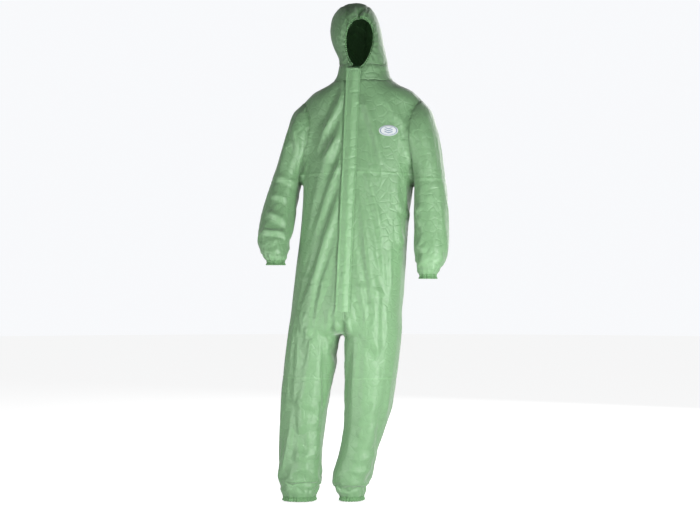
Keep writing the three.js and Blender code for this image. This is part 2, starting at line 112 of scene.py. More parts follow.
FLAP_WIDTH = 0.050
ZIP_UP = -np.array(joint("zip_travel")["axis"])
ZIP_ACROSS = -np.array(joint("pull_swing")["axis"])
ZIP_OUT = np.cross(ZIP_ACROSS, ZIP_UP)
ZIP_FOOT = np.array(joint("flap_opening")["pos_m"]) - ZIP_ACROSS * FLAP_WIDTH / 2 - ZIP_OUT * 0.0045
LEAN = 0.07
SLOT_BOTTOM = high("front_seat_left")
CHIN = 0.044
WAIST = high("back_lower_left")
HEAD = np.array([-0.032, 0.0, 0.132])  # middle of the head, before the lean
HEAD_TURN = math.radians(11)
FACE_HALF = (0.054, 0.088)
FACE_HEM = 1.13  # the hood's cloth ends here, as a share of the opening, and its gathered hem starts
END_HEM = 0.018  # height of the gathered hem at each cuff and ankle
END_PANELS = ("left_lower_sleeve", "right_lower_sleeve", "left_shin", "right_shin")


def zip_x(z):
    """x of the zip line at height z, on the straight line through the zip's foot along its length."""
    return ZIP_FOOT[0] + (z - ZIP_FOOT[2]) * ZIP_UP[0] / ZIP_UP[2]


def head_axes(points):
    """Sideways, depth and height in the turned head's own axes, for each point: the lean is taken off
    and the rest is turned back about the head's upright axis."""
    x = points[:, 0] - LEAN * points[:, 2] - HEAD[0]
    c, s = math.cos(HEAD_TURN), math.sin(HEAD_TURN)
    return c * x + s * points[:, 1], c * points[:, 1] - s * x, points[:, 2] - HEAD[2]


def from_head_axes(across, depth, height):
    c, s = math.cos(HEAD_TURN), math.sin(HEAD_TURN)
    z = height + HEAD[2]
    return np.stack([c * across - s * depth + HEAD[0] + LEAN * z, s * across + c * depth, z], -1)


def face_reach(points):
    """1 on the edge of the egg-shaped face opening, less inside and more outside: the length of
    (across / half width, height / half height), where the half width is less towards the chin."""
    across, _, height = head_axes(points)
    tall = np.clip(height / FACE_HALF[1], -1.2, 1.2)
    wide = across / (FACE_HALF[0] * (0.86 + 0.14 * tall))
    return np.hypot(wide, height / FACE_HALF[1])


def smooth_step(value, start, end):
    t = np.clip((value - start) / (end - start), 0, 1)
    return t * t * (3 - 2 * t)


# ---- Mesh plumbing ---------------------------------------------------------------------------------
def read(collection, name, width=3, kind=float):
    flat = np.empty(len(collection) * width, kind)
    collection.foreach_get(name, flat)
    return flat.reshape(-1, width) if width > 1 else flat


def points_of(mesh):
    return read(mesh.vertices, "co")


def face_table(mesh):
    """The mesh's faces as rows of four vertex numbers. A triangle repeats its last one."""
    starts = read(mesh.polygons, "loop_start", 1, np.int32)
    totals = read(mesh.polygons, "loop_total", 1, np.int32)
    loops = read(mesh.loops, "vertex_index", 1, np.int32)
    return loops[starts[:, None] + np.minimum(np.arange(4), totals[:, None] - 1)]


def make_mesh(name, points, faces):
    """A mesh from points and faces. Rows of four numbers with a repeated last one are triangles."""
    if isinstance(faces, np.ndarray) and faces.shape[1] == 4:
        faces = [f[:3] if f[2] == f[3] else f for f in faces.tolist()]
    mesh = bpy.data.meshes.new(name)
    faces = faces.tolist() if isinstance(faces, np.ndarray) else faces
    mesh.from_pydata(np.asarray(points).tolist(), [], faces)
    mesh.update()
    return mesh


def make_object(name, mesh):
    obj = bpy.data.objects.new(name, mesh)
    bpy.context.scene.collection.objects.link(obj)
    return obj


def bake_modifiers(obj):
    """Puts what the object's modifiers make of its mesh in the mesh's place."""
    depsgraph = bpy.context.evaluated_depsgraph_get()
    baked = bpy.data.meshes.new_from_object(obj.evaluated_get(depsgraph), depsgraph=depsgraph)
    old = obj.data
    obj.modifiers.clear()
    obj.data = baked
    bpy.data.meshes.remove(old)
    return baked


def discard(*objects):
    for obj in objects:
        mesh = obj.data
        bpy.data.objects.remove(obj)
        bpy.data.meshes.remove(mesh)


class Net:
    """Edges of a face table: their two vertices, and the lowest and highest label beside each."""

    def __init__(self, faces, labels, count):
        pairs = np.stack([faces, np.roll(faces, -1, 1)], -1).reshape(-1, 2)
        owner = np.repeat(labels, 4)
        real = pairs[:, 0] != pairs[:, 1]
        pairs, owner = np.sort(pairs[real], 1), owner[real]
        key, place, times = np.unique(pairs[:, 0].astype(np.int64) * count + pairs[:, 1],
                                      return_inverse=True, return_counts=True)
        self.pairs = np.stack([key // count, key % count], -1)
        self.lowest = np.full(len(key), 10**6)
        self.highest = np.full(len(key), -1)
        np.minimum.at(self.lowest, place, owner)
        np.maximum.at(self.highest, place, owner)
        self.rim = times == 1
        self.seam = (self.lowest != self.highest) & ~self.rim
        self.count = count

    def touches(self, chosen):
        mask = np.zeros(self.count, bool)
        mask[self.pairs[chosen].ravel()] = True
        return mask

    def mean(self, values, chosen=slice(None)):
        """For each vertex, the mean over the vertices at the other ends of its chosen edges."""
        pairs = self.pairs[chosen]
        both = np.concatenate([pairs, pairs[:, ::-1]])
        degree = np.bincount(both[:, 0], minlength=self.count)
        columns = values.reshape(self.count, -1)
        total = np.stack([np.bincount(both[:, 0], weights=columns[both[:, 1], k], minlength=self.count)
                          for k in range(columns.shape[1])], -1)
        result = np.where(degree[:, None] > 0, total / np.maximum(degree, 1)[:, None], columns)
        return result.reshape(values.shape)

    def relax(self, points, rounds, free=None, share=0.5, chosen=slice(None)):
        """Moves points part of the way to the mean of their neighbours, several times."""
        for _ in range(rounds):
            step = (self.mean(points, chosen) - points) * share
            points = points + (step if free is None else step * free[:, None])
        return points

    def distance(self, points, start, reach):
        """Length along the edges from the start vertices to each vertex, up to reach."""
        length = np.linalg.norm(points[self.pairs[:, 0]] - points[self.pairs[:, 1]], axis=1)
        away = np.where(start, 0.0, reach)
        for _ in range(int(reach / np.median(length)) + 2):
            for a, b in ((0, 1), (1, 0)):
                np.minimum.at(away, self.pairs[:, a], away[self.pairs[:, b]] + length)
        return np.minimum(away, reach)


def vertex_normals(points, faces):
    """Unit normals: the sum of the faces' area vectors, each half the cross product of its diagonals."""
    a, b, c, d = (points[faces[:, k]] for k in range(4))
    area = np.cross(c - a, d - b)
    area = np.where((faces[:, 2] == faces[:, 3])[:, None], np.cross(b - a, c - a), area)
    total = np.zeros_like(points)
    for axis in range(3):
        share = np.repeat(area[:, axis], 4)
        total[:, axis] = np.bincount(faces.ravel(), weights=share, minlength=len(points))
    return total / np.maximum(np.linalg.norm(total, axis=1), 1e-12)[:, None]


# ---- The suit's skin, laid on the frame's panels ---------------------------------------------------
# It is worked out in slid space: x is measured from the zip line at each height, so that the zip runs
# straight up.
def slid(points, back=False):
    points = np.array(points, float)
    points[:, 0] += zip_x(points[:, 2]) * (1 if back else -1)
    return points


def join_panels():
    """All the frame's cloth panels as one object in slid space, each vertex with its panel's number."""
    points, faces, owner, offset = [], [], [], 0
    for number, name in enumerate(PANELS):
        mesh = frame["nodes"][name].data
        points.append(points_of(mesh))
        faces.append(read(mesh.loops, "vertex_index", 1, np.int32).reshape(-1, 3) + offset)
        owner.append(np.full(len(mesh.vertices), float(number)))
        offset += len(mesh.vertices)
    mesh = make_mesh("panels", slid(np.concatenate(points)), np.concatenate(faces))
    mesh.attributes.new("panel", "FLOAT", "POINT").data.foreach_set("value", np.concatenate(owner))
    return make_object("panels", mesh)


def laid_on(points, target, from_y=None):
    """Each point moved onto the target: to its nearest point, or straight along y from from_y."""
    probe = make_object("probe", make_mesh("probe", points, []))
    wrap = probe.modifiers.new("wrap", "SHRINKWRAP")
    wrap.target = target
    if from_y is None:
        wrap.wrap_method = "NEAREST_SURFACEPOINT"
    else:
        wrap.wrap_method = "PROJECT"
        wrap.use_project_y = True
        wrap.use_positive_direction = from_y < 0
        wrap.use_negative_direction = from_y > 0
    result = points_of(bake_modifiers(probe))
    discard(probe)
    return result


def shot_along_y(target, grid_x, grid_z, start):
    """y at which a line along y from start first meets the target, at each x and z of a grid."""
    points = np.stack([grid_x, np.full_like(grid_x, start), grid_z], -1).reshape(-1, 3)
    return laid_on(points, target, start)[:, 1].reshape(grid_x.shape)


def filled_suit(target, step_x=0.004, step_z=0.007):
    """A closed solid that fills the suit: at each x and z it runs from the suit's front to its back.
    Over the face and the zip, its front is a membrane: each height there is the mean of its neighbours."""
    reach = 0.7
    xs = np.arange(CAD_BOX[0][0] - 0.06, CAD_BOX[1][0] + 0.06, step_x)
    zs = np.arange(CAD_BOX[0][2] - 0.012, CAD_BOX[1][2] + 0.012, step_z)
    grid_x, grid_z = np.meshgrid(xs, zs)
    front = shot_along_y(target, grid_x, grid_z, -reach)
    back = shot_along_y(target, grid_x, grid_z, reach)
    inside = (front > -reach + 0.01) & (back < reach - 0.01)
    hole = inside & (front > 0.03) & ((np.abs(grid_x) < 0.012) | (grid_z > CHIN - 0.01))
    front[hole] = -0.13
    for _ in range(900):
        mean = (np.roll(front, 1, 0) + np.roll(front, -1, 0)
                + np.roll(front, 1, 1) + np.roll(front, -1, 1)) / 4
        front[hole] = mean[hole]
    inside &= np.roll(inside, 1, 1) & np.roll(inside, -1, 1)
    inside &= back - front > 0.006
    cells = inside[:-1, :-1] & inside[:-1, 1:] & inside[1:, 1:] & inside[1:, :-1]
    number = np.arange(front.size).reshape(front.shape)
    corner = [number[:-1, :-1], number[:-1, 1:], number[1:, 1:], number[1:, :-1]]
    far = front.size
    faces = [np.stack([c[cells] for c in corner], -1)]
    faces.append(np.stack([corner[k][cells] + far for k in (0, 3, 2, 1)], -1))
    ringed = np.pad(cells, 1)
    beside = [ringed[:-2, 1:-1], ringed[1:-1, 2:], ringed[2:, 1:-1], ringed[1:-1, :-2]]
    for k in range(4):
        edge = cells & ~beside[k]
        p, q = corner[k][edge], corner[(k + 1) % 4][edge]
        faces.append(np.stack([q, p, p + far, q + far], -1))
    points = np.concatenate([np.stack([grid_x, y, grid_z], -1).reshape(-1, 3) for y in (front, back)])
    used, faces = np.unique(np.concatenate(faces), return_inverse=True)
    return make_object("filled suit", make_mesh("filled suit", points[used], faces.reshape(-1, 4)))


def in_zip_slot(points, half):
    """True where a point of slid space lies between the two front panels."""
    return (np.abs(points[:, 0]) < half) & (points[:, 1] < -0.05) & (points[:, 2] > SLOT_BOTTOM)


def in_face(points, reach):
    """True where a point of slid space lies inside the face opening, grown by the factor reach."""
    return (face_reach(slid(points, back=True)) < reach) & (points[:, 1] < -0.02)


def closed_skin(target, voxel):
    """The filled suit, remeshed to even quads and laid onto the outside of the frame's panels."""
    skin = filled_suit(target)
    remesh = skin.modifiers.new("remesh", "REMESH")
    remesh.mode = "VOXEL"
    remesh.voxel_size = voxel
    mesh = bake_modifiers(skin)
    points, faces = points_of(mesh), face_table(mesh)
    net = Net(faces, np.zeros(len(faces), int), len(points))
    points = net.relax(points, 3)
    for rounds in (3, 2, 0):
        points = points + vertex_normals(points, faces) * 0.0025
        loose = in_zip_slot(points, 0.0075) | in_face(points, 0.98)
        points = np.where(loose[:, None], points, laid_on(points, target))
        points = net.relax(points, 40, free=loose.astype(float), share=0.9)
        points = net.relax(points, rounds)
    discard(skin)
    return points, faces


def nearest_panel(points, faces, target):
    """Number of the frame's panel that is nearest to each face, by a geometry node group."""
    tree = bpy.data.node_groups.new("nearest panel", "GeometryNodeTree")
    tree.interface.new_socket("Geometry", in_out="INPUT", socket_type="NodeSocketGeometry")
    tree.interface.new_socket("Geometry", in_out="OUTPUT", socket_type="NodeSocketGeometry")
    nodes, links = tree.nodes, tree.links
    entry, leave = nodes.new("NodeGroupInput"), nodes.new("NodeGroupOutput")
    info = nodes.new("GeometryNodeObjectInfo")
    info.inputs["Object"].default_value = target
    named = nodes.new("GeometryNodeInputNamedAttribute")
    named.inputs["Name"].default_value = "panel"
    sample = nodes.new("GeometryNodeSampleNearestSurface")
    store = nodes.new("GeometryNodeStoreNamedAttribute")
    store.inputs["Name"].default_value = "panel"
    links.new(entry.outputs[0], store.inputs["Geometry"])
    links.new(info.outputs["Geometry"], sample.inputs["Mesh"])
    links.new(named.outputs["Attribute"], sample.inputs["Value"])
    links.new(sample.outputs["Value"], store.inputs["Value"])
    links.new(store.outputs["Geometry"], leave.inputs[0])
    probe = make_object("probe", make_mesh("probe", points[faces].mean(1), []))
    probe.modifiers.new("label", "NODES").node_group = tree
    labels = read(bake_modifiers(probe).attributes["panel"].data, "value", 1)
    discard(probe)
    bpy.data.node_groups.remove(tree)
    return np.clip(np.rint(labels).astype(int), 0, len(PANELS) - 1)


def open_skin(points, faces, labels):
    """The skin without the cloth over the face, between the fronts, and across each cuff and hem."""
    gone = in_zip_slot(points[faces].mean(1), 0.0078) | in_face(points[faces].mean(1), FACE_HEM)
    for name in END_PANELS:
        part = labels == PANELS.index(name)
        gone |= part & (points[faces].mean(1)[:, 2] < low(name) + END_HEM)
    used, kept = np.unique(faces[~gone], return_inverse=True)
    points, faces, labels = points[used], kept.reshape(-1, 4), labels[~gone]
    return points, faces, labels


def settle_edges(points, net, target):
    """Seams and open edges as smooth lines: each vertex on one moves along it to the middle of its two
    neighbours, then back onto the surface, and the cloth beside them evens out."""
    rim, seam = net.touches(net.rim), net.touches(net.seam)
    degree = np.bincount(net.pairs[net.seam].ravel(), minlength=net.count)
    slot = rim & (np.abs(points[:, 0]) < 0.014) & (points[:, 1] < -0.05)
    slot &= (points[:, 2] > SLOT_BOTTOM - 0.006) & (points[:, 2] < CHIN + 0.012)
    face = rim & ~slot & (points[:, 2] > CHIN - 0.02)
    ends = rim & ~slot & ~face
    points[slot, 0] = np.sign(points[slot, 0]) * 0.007
    points = net.relax(points, 14, free=(rim & ~slot).astype(float), chosen=net.rim)
    for name in END_PANELS:
        near = ends & (np.abs(points[:, 2] - low(name) - END_HEM) < 0.02)
        middle = (low(name, 0) + high(name, 0)) / 2 - zip_x(low(name))
        near &= np.abs(points[:, 0] - middle) < 0.14
        points[near, 2] = low(name) + END_HEM
    for _ in range(3):
        true = slid(points[face], back=True)
        reach = face_reach(true)
        across, depth, height = head_axes(true)
        reach /= FACE_HEM
        points[face] = slid(from_head_axes(across / reach, depth, height / reach))
        points = net.relax(points, 2, free=face.astype(float), chosen=net.rim)
    moving = (seam & ~rim & (degree == 2)).astype(float)
    points = net.relax(points, 16, free=moving, chosen=net.seam)
    free = (~rim & ~seam).astype(float)
    for rounds in (4, 3):
        points = net.relax(points, rounds, free=free)
        found = laid_on(points, target)
        near = np.linalg.norm(found - points, axis=1) < 0.006
        points = np.where((near & ~rim)[:, None], found, points)
    return points


# ---- Draping ---------------------------------------------------------------------------------------
# Folds that the suit keeps from how it was packed and how it hangs: two ends as (sideways, height) in
# metres across a line of sight 10 degrees round to the wearer's left, the height of the fold, and its
# half width.
SIGHT = math.radians(10)
FOLDS = [
    ((-0.065, -0.02), (-0.165, -0.20), 0.010, 0.016), ((-0.055, -0.07), (-0.150, -0.29), 0.008, 0.014),
    ((-0.05, -0.16), (-0.125, -0.36), 0.008, 0.013), ((-0.10, -0.20), (-0.185, -0.30), 0.007, 0.012),
    ((-0.04, -0.02), (0.065, -0.33), 0.008, 0.015), ((0.06, -0.05), (0.125, -0.24), 0.007, 0.014),
    ((-0.19, -0.333), (0.10, -0.331), 0.0035, 0.007), ((-0.33, -0.333), (-0.235, -0.372), 0.008, 0.009),
    ((-0.08, -0.38), (-0.17, -0.60), 0.006, 0.016), ((0.03, -0.42), (0.07, -0.74), 0.005, 0.012),
    ((-0.047, -0.738), (0.095, -0.768), 0.007, 0.009), ((0.072, -0.50), (0.078, -0.83), 0.004, 0.008),
    ((-0.25, -0.70), (-0.125, -0.728), 0.006, 0.009), ((-0.06, -0.865), (0.08, -0.985), 0.010, 0.015),
    ((-0.27, -0.905), (-0.135, -0.880), 0.006, 0.012), ((-0.10, -0.86), (-0.16, -0.99), 0.007, 0.012),
    ((-0.08, -0.84), (-0.03, -0.94), 0.007, 0.012), ((-0.25, -0.80), (-0.20, -1.02), 0.006, 0.016),
    ((-0.27, -1.14), (-0.14, -1.18), 0.009, 0.013), ((-0.26, -1.24), (-0.15, -1.21), 0.008, 0.012),
    ((0.05, -1.15), (-0.04, -1.20), 0.009, 0.013), ((0.05, -1.22), (-0.05, -1.25), 0.008, 0.012),
    ((-0.27, -1.34), (-0.16, -1.33), 0.009, 0.011), ((-0.26, -1.37), (-0.17, -1.395), 0.009, 0.011),
    ((-0.27, -1.42), (-0.16, -1.415), 0.007, 0.010), ((0.05, -1.32), (-0.07, -1.345), 0.009, 0.012),
    ((0.04, -1.38), (-0.08, -1.37), 0.009, 0.011), ((0.05, -1.43), (-0.07, -1.415), 0.007, 0.010),
    ((0.12, -0.45), (0.21, -0.52), 0.008, 0.011), ((0.20, -0.44), (0.13, -0.49), 0.007, 0.010),
    ((0.11, -0.56), (0.20, -0.60), 0.007, 0.012), ((-0.36, -0.46), (-0.28, -0.50), 0.008, 0.011),
    ((-0.37, -0.53), (-0.28, -0.545), 0.007, 0.011), ((-0.35, -0.40), (-0.27, -0.42), 0.006, 0.010),
    ((0.10, -0.12), (0.17, -0.22), 0.007, 0.012), ((-0.27, -0.14), (-0.24, -0.27), 0.007, 0.012),
]


def kept_folds(points, normals):
    """Height of the folds at each point that faces forwards: on each fold's line a bell curve of the
    distance from it, with a lower trough beside it, that fades towards both ends."""
    sideways = points[:, 0] * math.cos(SIGHT) + points[:, 1] * math.sin(SIGHT)
    height = points[:, 2]
    facing = normals[:, 0] * math.sin(SIGHT) - normals[:, 1] * math.cos(SIGHT)
    total = np.zeros(len(points))
    for (x0, z0), (x1, z1), rise, width in FOLDS:
        length = math.hypot(x1 - x0, z1 - z0)
        ux, uz = (x1 - x0) / length, (z1 - z0) / length
        along = ((sideways - x0) * ux + (height - z0) * uz) / length
        bow = 0.06 * length * np.sin(math.pi * np.clip(along, 0, 1))
        off = (height - z0) * ux - (sideways - x0) * uz - bow
        fade = smooth_step(along, -0.05, 0.25) * smooth_step(-along, -1.05, -0.7)
        trough = 0.7 * np.exp(-((off + 1.7 * width) / width) ** 2)
        total += rise * fade * (np.exp(-(off / width) ** 2) - trough)
    return total * smooth_step(facing, 0.05, 0.5)


def noise_field(points, cell, seed):
    """Smooth noise from -1 to 1: random values at the corners of a cubic lattice, blended between."""
    rng = np.random.default_rng(seed)
    table = rng.uniform(-1, 1, (64, 64, 64))
    scaled = points / cell + 1000
    base = np.floor(scaled).astype(int)
    part = scaled - base
    part = part * part * (3 - 2 * part)
    total = np.zeros(len(points))
    for dx in (0, 1):
        for dy in (0, 1):
            for dz in (0, 1):
                weight = (part[:, 0] if dx else 1 - part[:, 0]) * (part[:, 1] if dy else 1 - part[:, 1])
                weight = weight * (part[:, 2] if dz else 1 - part[:, 2])
                i = (base + [dx, dy, dz]) % 64
                total += weight * table[i[:, 0], i[:, 1], i[:, 2]]
    return total


def wearer_inside(points, faces):
    """A body for the cloth to lie on: the closed skin moved in by a few millimetres at the shoulders and
    crown and more lower down, and smoothed."""
    points = slid(points, back=True)
    net = Net(faces, np.zeros(len(faces), int), len(points))
    z = points[:, 2]
    depth = 0.005 + 0.005 * smooth_step(-z, 0.05, 0.25) + 0.003 * smooth_step(-z, 0.8, 1.1)
    depth -= 0.003 * smooth_step(z, -0.02, 0.03)
    outer_arm = np.abs(points[:, 0] - LEAN * z) > 0.2
    depth = np.where(outer_arm & (z < -0.12), 0.009, depth)
    points = net.relax(points - vertex_normals(points, faces) * depth[:, None], 8)
    body = make_object("wearer inside", make_mesh("wearer inside", points, faces))
    body.modifiers.new("touch", "COLLISION")
    body.collision.thickness_outer = 0.002
    body.collision.thickness_inner = 0.01
    body.collision.cloth_friction = 6
    return body


def draped(points, faces, held, slack, body, frames):
    """The cloth after it has settled on the body under its own weight: it is cut larger by slack, and
    stays where held is 1."""
    scene = bpy.context.scene
    cloth = make_object("draping", make_mesh("draping", points, faces))
    for name, weights in (("held", held), ("slack", slack)):
        group = cloth.vertex_groups.new(name=name)
        levels = np.rint(weights * 20).astype(int)
        for level in np.unique(levels):
            group.add(np.flatnonzero(levels == level).tolist(), level / 20, "REPLACE")
    drape = cloth.modifiers.new("drape", "CLOTH")
    settings = drape.settings
    settings.quality = 5
    settings.mass = 0.12
    settings.tension_stiffness = settings.compression_stiffness = 20
    settings.shear_stiffness = 8
    settings.bending_stiffness = 1.6
    settings.air_damping = 2
    settings.tension_damping = settings.compression_damping = 8
    settings.vertex_group_mass = "held"
    settings.pin_stiffness = 1
    settings.vertex_group_shrink = "slack"
    settings.shrink_min = 0
    settings.shrink_max = -0.11
    drape.collision_settings.distance_min = 0.002
    drape.collision_settings.use_self_collision = False
    drape.point_cache.frame_start, drape.point_cache.frame_end = 1, frames
    for number in range(1, frames + 1):
        scene.frame_set(number)
    evaluated = cloth.evaluated_get(bpy.context.evaluated_depsgraph_get())
    result = points_of(evaluated.to_mesh())
    evaluated.to_mesh_clear()
    scene.frame_set(1)
    discard(cloth, body)
    return result


def subdivided(points, faces, labels, extra):
    """Each face cut in four on the limit of the smooth surface, with its label and its points' extra
    values carried on."""
    mesh = make_mesh("finer", points, faces)
    mesh.attributes.new("panel", "INT", "FACE").data.foreach_set("value", labels.astype(np.int32))
    for name, values in extra.items():
        mesh.attributes.new(name, "FLOAT", "POINT").data.foreach_set("value", values)
    obj = make_object("finer", mesh)
    finer = obj.modifiers.new("finer", "SUBSURF")
    finer.levels = finer.render_levels = 1
    finer.boundary_smooth = "PRESERVE_CORNERS"
    mesh = bake_modifiers(obj)
    result = (points_of(mesh), face_table(mesh), read(mesh.attributes["panel"].data, "value", 1, np.int32),
              {name: read(mesh.attributes[name].data, "value", 1) for name in extra})
    discard(obj)
    return result


def sew_suit(sizes):
    """The whole suit as one skin: laid on the frame, opened, draped, and with its seams drawn in."""
    target = join_panels()
    points, faces = closed_skin(target, sizes.mesh_size)
    body = wearer_inside(points, faces)
    labels = nearest_panel(points, faces, target)
    points, faces, labels = open_skin(points, faces, labels)
    net = Net(faces, labels, len(points))
    points = settle_edges(points, net, target)
    discard(target)
    across = np.abs(points[:, 0])
    points = slid(points, back=True)
    normals = vertex_normals(points, faces)
    rim = net.touches(net.rim)
    z, front = points[:, 2], points[:, 1] < -0.02
    from_rim = net.distance(points, rim, 0.06)
    along_zip = front & (z > SLOT_BOTTOM - 0.03) & (z < CHIN + 0.03)
    strip = np.where(along_zip, 1 - smooth_step(across, 0.030, 0.042), 0)
    held = np.maximum(strip, 1 - smooth_step(from_rim, 0.012, 0.022))
    upright_x = points[:, 0] - LEAN * z
    arm = np.abs(upright_x) > 0.212
    slack = 0.45 + 0.35 * smooth_step(-z, 0.55, 0.9) + 0.2 * smooth_step(-z, 1.0, 1.3)
    slack = np.where(arm & (z < -0.25), 0.85, slack)
    slack = np.where(z > -0.06, 0.15, slack)
    start = points + normals * (kept_folds(points, normals) * sizes.fold_share * (1 - held))[:, None]
    ripple = noise_field(points * [1, 1, 0.6], 0.035, 3) * 0.0035 * (1 - held)
    start = start + normals * ripple[:, None]
    if sizes.settling_frames < 2:
        discard(body)
    else:
        start = draped(start, faces, held, slack, body, sizes.settling_frames)
    moved = start - points
    length = np.linalg.norm(moved, axis=1)
    limit = 0.016
    moved *= np.minimum(1, limit / np.maximum(length, 1e-9))[:, None]
    points = net.relax(points + moved, 1, free=(~rim).astype(float), share=0.35)
    settled = kept_folds(points, normals) * sizes.fold_share * (1 - held)
    points = points + normals * (settled * 0.35)[:, None]
    sewn, pressed = seam_kinds(net)
    slot = rim & (across < 0.012) & front & (z < CHIN + 0.012)
    extra = {
        "seam": net.distance(points, net.touches(sewn), 0.03),
        "crease": net.distance(points, net.touches(pressed), 0.03),
        "gather": net.distance(points, rim & ~slot, 0.06),
    }
    points, faces, labels, extra = subdivided(points, faces, labels, extra)
    normals = vertex_normals(points, faces)
    points = points + normals * sewn_relief(points, extra, sizes)[:, None]
    SUIT.update(points=points, faces=faces, labels=labels, normals=vertex_normals(points, faces), **extra)


def seam_kinds(net):
    """Which edges between two panels are sewn seams, and which are only pressed creases: a crease runs
    between two lengths of one cut piece, such as the sleeve above and below the elbow."""
    piece = {}
    for number, name in enumerate(PANELS):
        words = name.split("_")
        if words[0] in LIMBS:
            bare = name.replace("upper", "").replace("lower", "")
            piece[number] = bare.replace("thigh", "leg").replace("shin", "leg")
        else:
            piece[number] = words[0] + words[-1] if words[0] in ("front", "back") else name
    family = np.array([sorted(set(piece.values())).index(piece[k]) for k in range(len(PANELS))])
    legs = np.array([name.endswith(("thigh", "shin")) for name in PANELS])
    seat = np.array([name.startswith("front_seat") for name in PANELS])
    first, second = net.lowest.copy(), np.maximum(net.highest, 0)
    first[~net.seam] = second[~net.seam] = 0
    same = family[first] == family[second]
    hip = legs[first] != legs[second]
    sewn = net.seam & ~same & ~hip
    return sewn, net.seam & same & ~(seat[first] | seat[second])


def sewn_relief(points, extra, sizes):
    """Rise of the finished cloth: a groove along each seam with puckers beside it, a low ridge along each
    pressed crease, puckers that die out away from each gathered edge, and the back drawn in at the waist."""
    z = points[:, 2]
    seam, crease, gather = extra["seam"], extra["crease"], extra["gather"]
    rise = -sizes.seam_groove * np.exp(-(seam / 0.0035) ** 2)
    rise += 0.0016 * noise_field(points, 0.011, 5) * np.exp(-(seam / 0.011) ** 2)
    rise += 0.0009 * np.exp(-(crease / 0.0035) ** 2) - 0.0006 * np.exp(-((crease - 0.007) / 0.004) ** 2)
    across, _, height = head_axes(points)
    angle = np.arctan2(height / FACE_HALF[1], across / FACE_HALF[0])
    wander = 1.2 * noise_field(points, 0.05, 7)
    face = smooth_step(z, CHIN - 0.01, CHIN + 0.01)
    rise += face * sizes.pucker * np.cos(30 * angle + wander) * np.exp(-(gather / 0.022) ** 2)
    for name in END_PANELS:
        near = (np.abs(z - low(name)) < 0.09) & (np.abs(points[:, 0] - ring_centre(name)[0]) < 0.11)
        turn = np.arctan2(points[:, 1] - ring_centre(name)[1], points[:, 0] - ring_centre(name)[0])
        rise += near * 1.5 * sizes.pucker * np.cos(13 * turn + 2 * wander) * np.exp(-(gather / 0.028) ** 2)
    back = smooth_step(points[:, 1], 0.02, 0.06)
    level = (z - WAIST - 0.013) / 0.02
    waist_turn = np.arctan2(points[:, 1], points[:, 0] - LEAN * z)
    gathers = np.cos(46 * waist_turn + 2.5 * wander) * np.exp(-np.abs(level) * 0.8)
    body = np.abs(points[:, 0] - LEAN * z) < 0.212
    rise += body * back * (0.0022 * gathers - 0.007 * np.exp(-(level ** 2) / 1.6))
    return rise


def ring_centre(name):
    """Middle of the open end of a sleeve or leg, from the elastic that the frame holds there."""
    elastic = name.replace("lower_sleeve", "cuff_elastic").replace("shin", "ankle_elastic")
    box = np.array(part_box(elastic))
    return box.mean(0)



# ---- Pieces ----------------------------------------------------------------------------------------
def smooth_object(name, points, faces, normals=None):
    mesh = make_mesh(name, points, faces)
    mesh.polygons.foreach_set("use_smooth", np.ones(len(mesh.polygons), bool))
    if normals is not None:
        mesh.normals_split_custom_set_from_vertices(normals.tolist())
    return make_object(name, mesh)


def add_values(obj, name, values):
    obj.data.attributes.new(name, "FLOAT", "POINT").data.foreach_set("value", np.asarray(values, np.float32))


def swept(section_points):
    """A closed skin over rings of points: section_points is an array of rings, each a closed loop with
    the same count of points, and the first and last rings get a cap."""
    rings, around = section_points.shape[:2]
    number = np.arange(rings * around).reshape(rings, around)
    a, b = number[:-1], number[1:]
    faces = np.stack([a, np.roll(a, -1, 1), np.roll(b, -1, 1), b], -1).reshape(-1, 4).tolist()
    faces += [number[0][::-1].tolist(), number[-1].tolist()]
    return section_points.reshape(-1, 3), faces


def grid_faces(rows, columns, wrap=False):
    number = np.arange(rows * columns).reshape(rows, columns)
    if wrap:
        number = np.concatenate([number, number[:, :1]], 1)
    return np.stack([number[:-1, :-1], number[:-1, 1:], number[1:, 1:], number[1:, :-1]], -1).reshape(-1, 4)


def on_zip(across, along, out):
    """Points from distances across the zip, up along it, and out of the cloth from the tapes' middle."""
    across, along, out = np.broadcast_arrays(across, along, out)
    return ZIP_FOOT + across[..., None] * ZIP_ACROSS + along[..., None] * ZIP_UP + out[..., None] * ZIP_OUT


def finish(obj, material):
    obj.data.materials.clear()
    obj.data.materials.append(material)
    return obj


def hang_panel(obj, name):
    """Keeps each sleeve, leg and hood panel where it lies, with its transform baked in, and hangs every other
    panel on the torso.
    """
    if name.endswith("upper_sleeve"):
        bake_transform(obj)
    elif name.endswith("lower_sleeve"):
        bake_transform(obj)
    elif name.endswith("thigh"):
        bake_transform(obj)
    elif name.endswith("shin"):
        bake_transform(obj)
    elif name.startswith("hood") and not name.startswith("hood_collar"):
        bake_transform(obj)
    else:
        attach(obj, "torso")


def make_panels(material):
    """Each panel is the suit's faces that carry its label, with the whole suit's normals, so that two
    panels shade as one cloth where only a crease divides them."""
    points, faces, labels = SUIT["points"], SUIT["faces"], SUIT["labels"]
    for number, name in enumerate(PANELS):
        used, own = np.unique(faces[labels == number], return_inverse=True)
        obj = smooth_object(f"{name}_cloth", points[used], own.reshape(-1, 4), SUIT["normals"][used])
        for value in ("seam", "crease", "gather"):
            add_values(obj, value, SUIT[value][used])
        finish(obj, material)
        hang_panel(obj, name)
        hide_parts(name)


